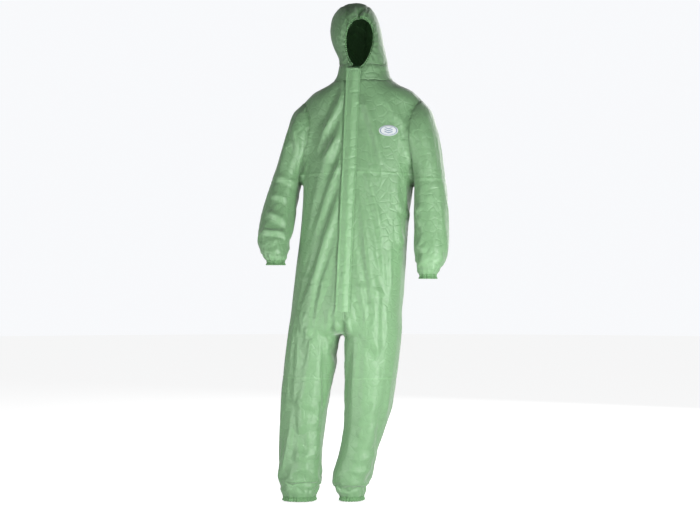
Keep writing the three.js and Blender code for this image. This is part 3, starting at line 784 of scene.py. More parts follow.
def rim_loop(name):
    """Angle, radius and height of the suit's cloth where it ends at a cuff or ankle."""
    points, faces = SUIT["points"], SUIT["faces"]
    net = Net(faces, SUIT["labels"], len(points))
    rim = net.touches(net.rim)
    centre = ring_centre(name)
    near = rim & (np.abs(points[:, 2] - low(name) - END_HEM) < 0.012)
    near &= np.hypot(points[:, 0] - centre[0], points[:, 1] - centre[1]) < 0.09
    ring = points[near]
    angle = np.arctan2(ring[:, 1] - centre[1], ring[:, 0] - centre[0])
    order = np.argsort(angle)
    radius = np.hypot(ring[:, 0] - centre[0], ring[:, 1] - centre[1])
    return centre, angle[order], radius[order], ring[order, 2]


def gathered_hem(name, count, pleats, seed):
    """The end of a sleeve or leg, gathered on its elastic. Down the hem the radius keeps the cloth's own,
    less a waist at the elastic, plus pleats: a wave round the ring that grows from nothing at the cloth
    to full at the edge, and turns in on itself at the bottom."""
    centre, angle, radius, height = rim_loop(name)
    turn = np.linspace(-math.pi, math.pi, count, endpoint=False)
    base = np.interp(turn, angle, radius, period=2 * math.pi)
    top = np.interp(turn, angle, height, period=2 * math.pi)
    rng = np.random.default_rng(seed)
    wander = sum(rng.uniform(0.2, 0.9) * np.sin(k * turn + rng.uniform(0, 6)) for k in (1, 2, 3, 5))
    wave = np.cos(pleats * turn + wander) * (0.75 + 0.25 * np.sin(7 * turn + wander))
    down = np.array([0, 0.1, 0.2, 0.3, 0.4, 0.5, 0.6, 0.7, 0.8, 0.9, 0.97, 1.0,
                     0.97, 0.85, 0.6, 0.3])[:, None]
    inner = np.array([0] * 11 + [0.0009, 0.0018, 0.0022, 0.0022, 0.0022])[:, None]
    grown = smooth_step(down, 0.0, 0.35)
    waist = 0.0022 * np.exp(-((down - 0.42) / 0.2) ** 2)
    r = base - waist + 0.0016 * smooth_step(down, 0.6, 1.0) - inner + 0.0017 * wave * grown
    z = top - down * (top - low(name) - 0.0005) + 0.0008 * wave * smooth_step(down, 0.7, 1)
    points = np.stack([centre[0] + r * np.cos(turn), centre[1] + r * np.sin(turn), z], -1)
    faces = grid_faces(len(down), count, wrap=True)[:, ::-1]
    return points.reshape(-1, 3), faces, np.repeat(down[:, 0], count)


def face_hem(count, pleats):
    """The hood's edge, gathered on its elastic: a strip round the opening from the cloth inwards, whose
    reach falls from the cloth's edge to the opening's, with pleats across it, and a fold back inside."""
    points, faces = SUIT["points"], SUIT["faces"]
    net = Net(faces, SUIT["labels"], len(points))
    reach = face_reach(points)
    rim = net.touches(net.rim) & (reach < FACE_HEM + 0.12) & (reach > FACE_HEM - 0.2)
    rim &= (points[:, 1] < -0.02) & (points[:, 2] > CHIN - 0.02)
    ring = points[rim]
    across, depth, height = head_axes(ring)
    angle = (np.arctan2(height / FACE_HALF[1], across / FACE_HALF[0]) + math.pi / 2) % (2 * math.pi)
    order = np.argsort(angle)
    angle, ring_across, ring_depth, ring_height = (v[order] for v in (angle, across, depth, height))
    turn = np.linspace(0.10, 2 * math.pi - 0.10, count)
    base = np.stack([np.interp(turn, angle, v) for v in (ring_across, ring_depth, ring_height)], -1)
    rng = np.random.default_rng(9)
    wander = sum(rng.uniform(0.3, 1.0) * np.sin(k * turn + rng.uniform(0, 6)) for k in (1, 2, 4, 6))
    wave = np.cos(pleats * turn + wander) * (0.75 + 0.25 * np.sin(9 * turn + wander))
    inward = np.array([0, 0.12, 0.25, 0.38, 0.5, 0.62, 0.75, 0.87, 0.96, 1.0, 0.97, 0.8, 0.5, 0.1])[:, None]
    behind = np.array([0] * 9 + [0.0009, 0.0018, 0.0024, 0.0026, 0.0026])[:, None]
    scale = 1 - inward * (1 - 1 / FACE_HEM)
    grown = smooth_step(inward, 0.0, 0.4)
    lift = 0.0016 * wave * grown - 0.0018 * np.exp(-((inward - 0.45) / 0.2) ** 2)
    scale = scale + 0.008 * wave * smooth_step(inward, 0.7, 1)
    depth = base[:, 1] - lift + behind + 0.002 * inward
    made = from_head_axes(base[:, 0] * scale, depth, base[:, 2] * scale)
    return made.reshape(-1, 3), grid_faces(len(inward), count), np.repeat(inward[:, 0], count)


def flap_height(across):
    """Height of the flap's underside over the tapes' middle: low where it is sewn and where it sticks,
    and up in a smooth arch over the slider."""
    arch = np.clip(1 - np.abs(across) / 0.019, 0, 1)
    edge = np.where(across > 0, 0.0033, 0.0052)
    return edge + (0.0107 - edge) * (arch * arch * (3 - 2 * arch)) ** 0.7


def flap_surface(across, along):
    """The flap's outer height with its softness: slow swells along its length, a few sharp creases across
    it, and its free edge lifting here and there."""
    place = np.stack(np.broadcast_arrays(across * 0.5, 0 * across, along), -1).reshape(-1, 3)
    shape = np.broadcast(across, along).shape
    swell = (0.0011 * noise_field(place, 0.07, 11).reshape(shape)
             + 0.0005 * noise_field(place, 0.018, 12).reshape(shape))
    free = smooth_step(-across, 0.010, 0.025)
    lift = free * 0.0022 * np.clip(noise_field(place * [0, 0, 1], 0.09, 13).reshape(shape), 0, 1)
    creases = 0
    for where, slope, depth in ((0.755, 0.15, 0.0016), (0.715, -0.2, 0.0009), (0.52, 0.25, 0.0008),
                                (0.485, 0.05, 0.0011), (0.245, -0.15, 0.0010), (0.075, 0.2, 0.0012)):
        creases = creases - depth * np.exp(-((along - where - slope * across) / 0.0035) ** 2)
    under = smooth_step(-across, 0.008, 0.014)
    return np.maximum(swell, -0.0004) * (1 - 0.6 * under) + lift + creases * (1 - under) + 0.0006 * under


def make_flap(material, thread, sizes):
    """The storm flap: its closed cross-section, two folded layers thick, carried up the zip."""
    half, thick = FLAP_WIDTH / 2, 0.0012
    top = float((np.array(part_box("storm_flap"))[1, 2] - ZIP_FOOT[2]) / ZIP_UP[2])
    bottom = float((low("storm_flap") - ZIP_FOOT[2]) / ZIP_UP[2])
    line = half * np.sin(np.linspace(math.pi / 2, -math.pi / 2, 33))
    across = np.concatenate([line, line[::-1]])
    along = np.linspace(bottom, top, 260)[:, None]
    edge = 0.0009 * noise_field(np.stack([0 * along, 0 * along, along], -1).reshape(-1, 3), 0.05, 17)[:, None]
    wavy = across + edge * smooth_step(-across, 0.015, 0.025)
    layer = np.concatenate([np.full(33, thick), np.zeros(33)])
    thicker_hem = 1 + 0.35 * (np.abs(across) > 0.021)
    out = flap_height(across) + layer * thicker_hem + flap_surface(across[None], along)
    points, faces = swept(on_zip(wavy, along, out))
    flap = smooth_object("storm_flap_cloth", points, [f[::-1] for f in faces])
    add_values(flap, "along", np.repeat(along[:, 0], len(across)))
    add_values(flap, "across", np.broadcast_to(across, (260, 66)).ravel())
    finish(flap, material)
    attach(flap, "flap")
    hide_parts("storm_flap", "flap_sewn_edge", "flap_free_edge")
    pitch = sizes.stitch_pitch
    places = np.arange(bottom + 0.004, top - 0.004, pitch)
    rows = np.array([0.0222, 0.0190])
    where, row = (v.ravel() for v in np.meshgrid(places, rows))
    height = flap_height(row) + thick + flap_surface(row, where) + 0.0001
    stitches = beads(on_zip(row, where, height), ZIP_UP * pitch * 0.36,
                     ZIP_ACROSS * 0.00035, ZIP_OUT * 0.0003)
    seam = smooth_object("flap_stitches", *stitches)
    finish(seam, thread)
    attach(seam, "flap")


def beads(centres, long, wide, high):
    """A slim bead at each centre: a six-sided spindle with two rings, whose half axes are given."""
    ring = np.linspace(0, 2 * math.pi, 6, endpoint=False)
    offsets = [-long]
    for share, size in ((-0.6, 0.8), (0.6, 0.8)):
        offsets += [long * share + wide * size * math.cos(t) + high * size * math.sin(t) for t in ring]
    offsets = np.array(offsets + [long])
    first, last = np.arange(1, 7), np.arange(7, 13)
    next_first, next_last = np.roll(first, -1), np.roll(last, -1)
    faces = [[0, b, a, a] for a, b in zip(first, next_first)]
    faces += [list(corners) for corners in zip(first, next_first, next_last, last)]
    faces += [[13, a, b, b] for a, b in zip(last, next_last)]
    faces = np.array(faces)
    points = (centres[:, None] + offsets[None]).reshape(-1, 3)
    all_faces = (faces[None] + np.arange(len(centres))[:, None, None] * 14).reshape(-1, 4)
    return points, all_faces


def make_zip(tape, plastic, adhesive, liner):
    """Two tapes, each a thin closed section carried up the zip, with a row of coil turns on each."""
    bottom = float((low("zip_tape_left") - ZIP_FOOT[2]) / ZIP_UP[2])
    top = float((high("zip_tape_left") - ZIP_FOOT[2]) / ZIP_UP[2])
    along = np.linspace(bottom, top, 240)[:, None]
    coil_top = float((high("zip_coil_left") - ZIP_FOOT[2]) / ZIP_UP[2])
    pitch = 0.0016
    turns = np.arange(pitch / 2, coil_top - pitch / 2, pitch)
    for side, word in ((1, "left"), (-1, "right")):
        line = np.linspace(0.0031, 0.017, 7)
        across = np.concatenate([line, line[::-1]])
        out = np.concatenate([np.full(7, 0.0004), np.full(7, -0.0004)]) - across ** 2 / 0.7
        rings = on_zip(side * across, along, out + 0.00012 * np.sin(along / 0.0016 * 2))
        points, faces = swept(rings)
        obj = smooth_object(f"zip_tape_{word}_cloth", points, faces if side < 0 else [f[::-1] for f in faces])
        obj.data.polygons.foreach_set("use_smooth", np.zeros(len(obj.data.polygons), bool))
        finish(obj, tape)
        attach(obj, "torso")
        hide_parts(f"zip_tape_{word}")
        shift = pitch / 2 * (side > 0)
        centres = on_zip(side * 0.00185, turns + shift, 0.0)
        lean = ZIP_UP * 0.0002
        coils = beads(centres, ZIP_ACROSS * 0.00095 + lean, ZIP_UP * 0.00062, ZIP_OUT * 0.00115)
        coil = smooth_object(f"zip_coil_{word}_turns", *coils)
        finish(coil, plastic)
        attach(coil, "torso")
        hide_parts(f"zip_coil_{word}")
    for name in ("zip_top_stop_left", "zip_top_stop_right", "zip_bottom_stop", "zip_slider", "zip_pull"):
        finish(frame["nodes"][name], plastic)
    finish(frame["nodes"]["flap_adhesive_strip"], adhesive)
    finish(frame["nodes"]["flap_release_liner"], liner)


def make_hems(material):
    """The gathered hems at cuffs, ankles and face."""
    for number, name in enumerate(END_PANELS):
        elastic = name.replace("lower_sleeve", "cuff_elastic").replace("shin", "ankle_elastic")
        points, faces, down = gathered_hem(name, 312, 26 if "cuff" in elastic else 34, number + 20)
        centre = points.mean(0)
        outer = faces[:len(faces) // 2]
        if np.sum(vertex_normals(points, outer) * (points - centre)) < 0:
            faces = faces[:, ::-1]
        obj = smooth_object(f"{elastic}_hem", points, faces)
        add_values(obj, "down", down)
        finish(obj, material)
        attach(obj, elastic.split("_")[0] + ("_forearm" if "cuff" in elastic else "_shin_part"))
        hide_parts(elastic)
    points, faces, down = face_hem(600, 62)
    outer = faces[:len(faces) // 2]
    if np.sum(vertex_normals(points, outer)[:, 1]) > 0:
        faces = faces[:, ::-1]
    obj = smooth_object("face_elastic_hem", points, faces)
    add_values(obj, "down", down)
    finish(obj, material)
    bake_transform(obj)
    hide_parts("face_elastic")


def make_waist(material):
    """The elastic inside the back's waist: the suit's own faces at that level, moved in by 2 mm."""
    points, faces, labels = SUIT["points"], SUIT["faces"], SUIT["labels"]
    middle = points[faces].mean(1)
    back = np.array([name.startswith("back") for name in PANELS])[labels]
    level = (middle[:, 2] > WAIST + 0.002) & (middle[:, 2] < WAIST + 0.024)
    used, own = np.unique(faces[back & level], return_inverse=True)
    inside = points[used] - SUIT["normals"][used] * 0.002
    obj = smooth_object("waist_elastic_band", inside, own.reshape(-1, 4))
    add_values(obj, "down", (inside[:, 2] - WAIST) / 0.024)
    finish(obj, material)
    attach(obj, "torso")
    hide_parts("waist_elastic")


def make_badge_and_label(badge_finish, label_finish):
    """The badge is a low oval dome that lies on the chest, and the label a small rectangle inside the
    neck: both are grids dropped along y onto the suit."""
    target = make_object("suit", make_mesh("suit", SUIT["points"], SUIT["faces"]))
    turn = np.linspace(0, 2 * math.pi, 72, endpoint=False)
    reach = np.concatenate([np.linspace(0.02, 0.94, 9), [0.98, 1.0, 1.0]])[:, None]
    rise = np.concatenate([np.full(9, 0.0011), [0.0010, 0.0006, -0.0002]])[:, None]
    box = np.array(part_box("chest_badge"))
    centre, half = box.mean(0), (box[1] - box[0]) / 2
    x = centre[0] + half[0] * 0.99 * reach * np.cos(turn)
    z = centre[2] + half[2] * reach * np.sin(turn)
    y = shot_along_y(target, x, z, -0.7)
    flat = np.median(y)
    y = 0.75 * y + 0.25 * (flat + (x - centre[0]) * np.polyfit(x.ravel() - centre[0], y.ravel(), 1)[0])
    points = np.stack([x, y - rise - 0.0008, z], -1).reshape(-1, 3)
    faces = grid_faces(len(reach), 72, wrap=True)
    faces = face_lists(faces) + [list(range(72))]
    badge = smooth_object("chest_badge_patch", points, faces)
    add_values(badge, "across", (reach * np.cos(turn)).ravel())
    add_values(badge, "upward", (reach * np.sin(turn)).ravel())
    work = bmesh.new()
    work.from_mesh(badge.data)
    bmesh.ops.recalc_face_normals(work, faces=work.faces[:])
    if sum(f.normal.y for f in work.faces) > 0:
        bmesh.ops.reverse_faces(work, faces=work.faces[:])
    work.to_mesh(badge.data)
    work.free()
    finish(badge, badge_finish)
    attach(badge, "torso")
    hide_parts("chest_badge")
    box = np.array(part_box("neck_label"))
    grid_x, grid_z = np.meshgrid(np.linspace(box[0, 0] + 0.002, box[1, 0] - 0.002, 20),
                                 np.linspace(box[0, 2], box[1, 2], 26))
    y = shot_along_y(target, grid_x, grid_z, 0.7) - 0.0034 - 0.0012 * (grid_z < box.mean(0)[2])
    points = np.stack([grid_x, y, grid_z], -1).reshape(-1, 3)
    label = smooth_object("neck_label_tag", points, grid_faces(26, 20)[:, ::-1])
    add_values(label, "down", ((grid_z - box[0, 2]) / (box[1, 2] - box[0, 2])).ravel())
    add_values(label, "across", ((grid_x - box[0, 0]) / (box[1, 0] - box[0, 0])).ravel())
    finish(label, label_finish)
    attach(label, "torso")
    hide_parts("neck_label")
    discard(target)


def face_lists(faces):
    return [f[:3] if f[2] == f[3] else f for f in faces.tolist()]


# ---- Finishes --------------------------------------------------------------------------------------
def material_of(name):
    material = bpy.data.materials.new(name)
    material.use_nodes = True
    tree = material.node_tree
    return material, tree, tree.nodes["Principled BSDF"]


def add_node(tree, kind, inputs=None, **settings):
    node = tree.nodes.new(kind)
    for key, value in settings.items():
        setattr(node, key, value)
    for key, value in (inputs or {}).items():
        if isinstance(value, bpy.types.NodeSocket):
            tree.links.new(value, node.inputs[key])
        else:
            node.inputs[key].default_value = value
    return node


def maths(tree, operation, first, second=0.0, third=0.0):
    return add_node(tree, "ShaderNodeMath", {0: first, 1: second, 2: third}, operation=operation).outputs[0]


def raise_surface(tree, shader, height):
    """Feeds a height in metres to the shader's normal."""
    bump = add_node(tree, "ShaderNodeBump", {"Height": height, "Strength": 1.0, "Distance": 1.0})
    tree.links.new(bump.outputs["Normal"], shader.inputs["Normal"])


def value_of(tree, name):
    return add_node(tree, "ShaderNodeAttribute", attribute_name=name).outputs["Fac"]


def mixed(tree, share, first, second):
    node = add_node(tree, "ShaderNodeMix", data_type="RGBA")
    for key, value in ((0, share), (6, first), (7, second)):
        if isinstance(value, bpy.types.NodeSocket):
            tree.links.new(value, node.inputs[key])
        else:
            node.inputs[key].default_value = value
    return node.outputs[2]


def bonded_cloth_group():
    """Shared look of the bonded cloth: a mask of its fibres' clouding and the height of its surface,
    which is fine crumples, small creases and the rows of bond points pressed into it."""
    tree = bpy.data.node_groups.new("Bonded cloth", "ShaderNodeTree")
    for name in ("Clouding", "Height"):
        tree.interface.new_socket(name, in_out="OUTPUT", socket_type="NodeSocketFloat")
    leave = tree.nodes.new("NodeGroupOutput")
    place = add_node(tree, "ShaderNodeTexCoord").outputs["Object"]
    cloud = add_node(tree, "ShaderNodeTexNoise", {"Vector": place, "Scale": 70.0, "Detail": 5.0,
                                                  "Roughness": 0.6})
    fibres = add_node(tree, "ShaderNodeTexNoise", {"Vector": place, "Scale": 900.0, "Detail": 2.0})
    clouding = maths(tree, "ADD", maths(tree, "MULTIPLY", cloud.outputs["Fac"], 0.6),
                     maths(tree, "MULTIPLY", fibres.outputs["Fac"], 0.4))
    crumple = add_node(tree, "ShaderNodeTexNoise", {"Vector": place, "Scale": 16.0, "Detail": 3.0,
                                                    "Roughness": 0.55, "Distortion": 0.6})
    ridge = maths(tree, "SUBTRACT", 1.0, maths(tree, "ABSOLUTE", maths(
        tree, "MULTIPLY", maths(tree, "SUBTRACT", crumple.outputs["Fac"], 0.5), 4.0)))
    cells = add_node(tree, "ShaderNodeTexVoronoi", {"Vector": place, "Scale": 34.0, "Randomness": 1.0},
                     feature="DISTANCE_TO_EDGE")
    creased = maths(tree, "MINIMUM", cells.outputs["Distance"], 0.12)
    points = add_node(tree, "ShaderNodeTexVoronoi", {"Vector": place, "Scale": 620.0, "Randomness": 0.15})
    pressed = maths(tree, "MINIMUM", points.outputs["Distance"], 0.45)
    height = maths(tree, "ADD", maths(tree, "MULTIPLY", ridge, 0.0011),
                   maths(tree, "MULTIPLY", creased, 0.0055))
    height = maths(tree, "ADD", height, maths(tree, "MULTIPLY", pressed, 0.00022))
    tree.links.new(clouding, leave.inputs["Clouding"])
    tree.links.new(height, leave.inputs["Height"])
    return tree


def shade(colour, factor):
    return (*[min(1.0, c * factor) for c in colour[:3]], 1.0)


def cloth_finish(name, group, colour, dense, seams=True, lighter=1.0):
    """Bonded cloth: its colour clouds between a thinner and a denser shade and is denser where a seam
    doubles it, and its surface is crumpled, with a fine crease on each side of a seam."""
    material, tree, shader = material_of(name)
    look = add_node(tree, "ShaderNodeGroup", node_tree=group)
    cloud = add_node(tree, "ShaderNodeMapRange", {"Value": look.outputs["Clouding"],
                                                  1: 0.35, 2: 0.65}).outputs[0]
    # A lighter above 1 paints the whole cloth lighter. This is painted light, and only the flap's cloth uses
    # it.
    tone = mixed(tree, cloud, shade(colour, 0.93 * lighter), shade(colour, 1.05 * lighter))
    height = look.outputs["Height"]
    if seams:
        beside = value_of(tree, "seam")
        doubled = maths(tree, "LESS_THAN", beside, 0.0075)
        tone = mixed(tree, maths(tree, "MULTIPLY", doubled, 0.55), tone, shade(dense, lighter))
        line = maths(tree, "SUBTRACT", beside, 0.0062)
        line = maths(tree, "MINIMUM", maths(tree, "ABSOLUTE", line), 0.0012)
        height = maths(tree, "ADD", height, maths(tree, "MULTIPLY", line, 0.5))
        gutter = maths(tree, "MINIMUM", beside, 0.0022)
        height = maths(tree, "ADD", height, maths(tree, "MULTIPLY", gutter, 0.5))
        # Painted highlight: a lighter line along the ridge of each pressed crease.
        pressed = maths(tree, "LESS_THAN", value_of(tree, "crease"), 0.0016)
        tone = mixed(tree, maths(tree, "MULTIPLY", pressed, 0.5), tone, shade(colour, 1.35))
        # Painted shade: a dark line in the groove along each seam, where the two panels meet.
        painted_seam_shade = maths(tree, "LESS_THAN", beside, 0.0009)
        tone = mixed(tree, maths(tree, "MULTIPLY", painted_seam_shade, 0.35), tone, shade(dense, 0.45))
    tree.links.new(tone, shader.inputs["Base Color"])
    raise_surface(tree, shader, height)
    rough = maths(tree, "MULTIPLY_ADD", cloud, 0.1, 0.48)
    tree.links.new(rough, shader.inputs["Roughness"])
    shader.inputs["Sheen Weight"].default_value = 0.4
    shader.inputs["Sheen Roughness"].default_value = 0.5
    shader.inputs["Specular IOR Level"].default_value = 0.8
    return material


def thread_finish(colour):
    material, tree, shader = material_of("Thread")
    place = add_node(tree, "ShaderNodeTexCoord").outputs["Object"]
    twist = add_node(tree, "ShaderNodeTexWave", {"Vector": place, "Scale": 900.0, "Distortion": 1.0})
    tone = mixed(tree, twist.outputs["Fac"], shade(colour, 0.8), shade(colour, 1.1))
    tree.links.new(tone, shader.inputs["Base Color"])
    shader.inputs["Roughness"].default_value = 0.5
    return material


def hem_finish(name, group, colour, dense):
    """Gathered hem: the cloth, doubled, with a row of stitches pressed in above the elastic."""
    material, tree, shader = material_of(name)
    look = add_node(tree, "ShaderNodeGroup", node_tree=group)
    down = value_of(tree, "down")
    line = maths(tree, "MINIMUM", maths(tree, "ABSOLUTE", maths(tree, "SUBTRACT", down, 0.14)), 0.05)
    tone = mixed(tree, look.outputs["Clouding"], shade(dense, 0.95), shade(colour, 1.0))
    stitched = maths(tree, "MULTIPLY", maths(tree, "LESS_THAN", line, 0.022), 0.5)
    tone = mixed(tree, stitched, tone, shade(dense, 0.6))
    height = maths(tree, "ADD", look.outputs["Height"], maths(tree, "MULTIPLY", line, 0.012))
    tree.links.new(tone, shader.inputs["Base Color"])
    raise_surface(tree, shader, height)
    shader.inputs["Roughness"].default_value = 0.66
    shader.inputs["Sheen Weight"].default_value = 0.2
    return material


def woven_finish(name, colour, scale, strength):
    """Woven tape or knitted elastic: ribs across and along, as two crossed waves."""
    material, tree, shader = material_of(name)
    place = add_node(tree, "ShaderNodeTexCoord").outputs["Object"]
    ribs = add_node(tree, "ShaderNodeTexWave", {"Vector": place, "Scale": scale, "Distortion": 0.6},
                    bands_direction="Z")
    cross = add_node(tree, "ShaderNodeTexWave", {"Vector": place, "Scale": scale * 0.7, "Distortion": 0.6},
                     bands_direction="X")
    weave = maths(tree, "MAXIMUM", ribs.outputs["Fac"], cross.outputs["Fac"])
    tree.links.new(mixed(tree, weave, shade(colour, 0.78), shade(colour, 1.08)), shader.inputs["Base Color"])
    raise_surface(tree, shader, maths(tree, "MULTIPLY", weave, strength))
    shader.inputs["Roughness"].default_value = 0.8
    return material


def plastic_finish(name, colour, rough, grain):
    """Moulded plastic, adhesive or waxed paper: a colour with faint mottling and a fine grain."""
    material, tree, shader = material_of(name)
    place = add_node(tree, "ShaderNodeTexCoord").outputs["Object"]
    mottle = add_node(tree, "ShaderNodeTexNoise", {"Vector": place, "Scale": 260.0, "Detail": 4.0})
    tree.links.new(mixed(tree, mottle.outputs["Fac"], shade(colour, 0.9), shade(colour, 1.08)),
                   shader.inputs["Base Color"])
    fine = add_node(tree, "ShaderNodeTexNoise", {"Vector": place, "Scale": 2200.0, "Detail": 2.0})
    raise_surface(tree, shader, maths(tree, "MULTIPLY", fine.outputs["Fac"], grain))
    uneven = maths(tree, "MULTIPLY_ADD", mottle.outputs["Fac"], 0.15, rough)
    tree.links.new(uneven, shader.inputs["Roughness"])
    return material


def badge_finish(field, line):
    """Oval emblem: a pale field, a thin ring inside its edge, and three plain chevrons."""
    material, tree, shader = material_of("Badge print")
    across, upward = value_of(tree, "across"), value_of(tree, "upward")
    reach = maths(tree, "SQRT", maths(tree, "ADD", maths(tree, "MULTIPLY", across, across),
                                      maths(tree, "MULTIPLY", upward, upward)))
    ring = maths(tree, "LESS_THAN", maths(tree, "ABSOLUTE", maths(tree, "SUBTRACT", reach, 0.86)), 0.045)
    height = maths(tree, "ADD", upward, maths(tree, "MULTIPLY", maths(tree, "ABSOLUTE", across), -0.7))
    stripe = maths(tree, "PINGPONG", maths(tree, "ADD", height, 0.45), 0.19)
    chevrons = maths(tree, "LESS_THAN", stripe, 0.075)
    middle = maths(tree, "LESS_THAN", maths(tree, "ABSOLUTE", across), 0.42)
    middle = maths(tree, "MULTIPLY", middle, maths(tree, "LESS_THAN", maths(tree, "ABSOLUTE", upward), 0.55))
    mark = maths(tree, "MAXIMUM", ring, maths(tree, "MULTIPLY", chevrons, middle))
    tree.links.new(mixed(tree, mark, (*field, 1), (*line, 1)), shader.inputs["Base Color"])
    raise_surface(tree, shader, maths(tree, "MULTIPLY", mark, 0.0002))
    shader.inputs["Roughness"].default_value = 0.38
    return material


def label_finish(field, line):
    """Washing label: plain satin with three small care marks as simple shapes."""
    material, tree, shader = material_of("Satin label")
    down, across = value_of(tree, "down"), value_of(tree, "across")
    column = maths(tree, "ABSOLUTE", maths(tree, "SUBTRACT", maths(tree, "FRACT", maths(
        tree, "MULTIPLY", across, 3.0)), 0.5))
    row = maths(tree, "ABSOLUTE", maths(tree, "MULTIPLY", maths(tree, "SUBTRACT", down, 0.45), 3.2))
    size = maths(tree, "MAXIMUM", column, row)
    box = maths(tree, "LESS_THAN", maths(tree, "ABSOLUTE", maths(tree, "SUBTRACT", size, 0.27)), 0.05)
    tree.links.new(mixed(tree, box, (*field, 1), (*line, 1)), shader.inputs["Base Color"])
    shader.inputs["Roughness"].default_value = 0.5
    shader.inputs["Sheen Weight"].default_value = 0.3
    return material


# ---- Settings --------------------------------------------------------------------------------------
class CoverallSizes(bpy.types.PropertyGroup):
    """Sizes of the cloth work."""

    mesh_size: FloatProperty(name="Mesh size", description="Side of a face before the last subdivision",
                             default=0.009, min=0.006, max=0.02, unit="LENGTH")
    settling_frames: IntProperty(name="Settling frames", description="Steps the cloth gets to settle",
                                 default=18, min=0, max=60)
    fold_share: FloatProperty(name="Kept folds", description="Share of the packed-in folds' height",
                              default=1.0, min=0, max=2, subtype="FACTOR")
    seam_groove: FloatProperty(name="Seam groove", description="Depth of the line where two panels meet",
                               default=0.0014, min=0, max=0.004, unit="LENGTH")
    pucker: FloatProperty(name="Pucker", description="Height of the cloth's puckers beside an elastic",
                          default=0.0012, min=0, max=0.004, unit="LENGTH")
    stitch_pitch: FloatProperty(name="Stitch length", description="From one stitch of the flap to the next",
                                default=0.0034, min=0.002, max=0.006, unit="LENGTH")


def colour_property(name, description, default):
    return FloatVectorProperty(name=name, description=description, default=default, subtype="COLOR", size=3,
                               min=0, max=1)


class CoverallColours(bpy.types.PropertyGroup):
    """Colours of the suit and its studio."""

    cloth: colour_property("Cloth", "Bonded cloth, one layer", (0.152, 0.312, 0.142))
    dense: colour_property("Seam allowance", "Cloth where a seam doubles it", (0.094, 0.232, 0.084))
    thread: colour_property("Thread", "Stitches of the flap", (0.20, 0.39, 0.19))
    tape: colour_property("Zip tape", "Woven tape of the zip", (0.05, 0.19, 0.065))
    plastic: colour_property("Zip plastic", "Coils, slider, pull and stops", (0.028, 0.135, 0.045))
    elastic: colour_property("Waist elastic", "Knitted elastic inside the waist", (0.55, 0.62, 0.52))
    badge: colour_property("Badge", "Field of the oval badge", (0.62, 0.65, 0.66))
    mark: colour_property("Badge mark", "Ring and chevrons of the badge", (0.10, 0.20, 0.30))
    floor: colour_property("Floor", "Floor and backdrop", (0.86, 0.86, 0.855))


class SewSuit(bpy.types.Operator):
    """Lay the cloth on the frame, drape it and cut it into its panels"""

    bl_idname = "coverall.sew_suit"
    bl_label = "Cloth panels"

    def execute(self, context):
        sizes, colours = context.scene.coverall_sizes, context.scene.coverall_colours
        sew_suit(sizes)
        group = bonded_cloth_group()
        make_panels(cloth_finish("Bonded cloth", group, colours.cloth, colours.dense))
        return {"FINISHED"}


class MakeElastics(bpy.types.Operator):
    """Gather the hems at face, cuffs and ankles, and put the elastic inside the waist"""

    bl_idname = "coverall.make_elastics"
    bl_label = "Elastics"

    def execute(self, context):
        colours = context.scene.coverall_colours
        group = bpy.data.node_groups["Bonded cloth"]
        make_hems(hem_finish("Gathered hem", group, colours.cloth, colours.dense))
        make_waist(woven_finish("Knitted elastic", colours.elastic, 420.0, 0.0003))
        return {"FINISHED"}


class MakeFlap(bpy.types.Operator):
    """Fold the storm flap and stitch its edge"""

    bl_idname = "coverall.make_flap"
    bl_label = "Storm flap"

    def execute(self, context):
        colours = context.scene.coverall_colours
        group = bpy.data.node_groups["Bonded cloth"]
        # The flap's cloth is the suit's cloth painted 1.16 times lighter: painted light on the flap, not a
        # colour of its own.
        flap = cloth_finish("Flap cloth painted lighter", group, colours.cloth, colours.dense,
                            seams=False, lighter=1.16)
        make_flap(flap, thread_finish(colours.thread), context.scene.coverall_sizes)
        return {"FINISHED"}


class MakeZip(bpy.types.Operator):
    """Weave the zip's tapes, wind its coils and finish its slider, pull, stops and sealing strip"""

    bl_idname = "coverall.make_zip"
    bl_label = "Zip"

    def execute(self, context):
        colours = context.scene.coverall_colours
        make_zip(woven_finish("Zip tape", colours.tape, 500.0, 0.0002),
                 plastic_finish("Zip nylon", colours.plastic, 0.32, 0.00002),
                 plastic_finish("Adhesive", (0.62, 0.60, 0.50), 0.25, 0.00003),
                 plastic_finish("Waxed paper", (0.80, 0.79, 0.74), 0.42, 0.00002))
        return {"FINISHED"}


class MakeBadge(bpy.types.Operator):
    """Lay the oval badge on the chest and the washing label inside the neck"""

    bl_idname = "coverall.make_badge"
    bl_label = "Badge and label"

    def execute(self, context):
        colours = context.scene.coverall_colours
        make_badge_and_label(badge_finish(colours.badge, colours.mark),
                             label_finish((0.78, 0.78, 0.76), (0.12, 0.12, 0.12)))
        return {"FINISHED"}


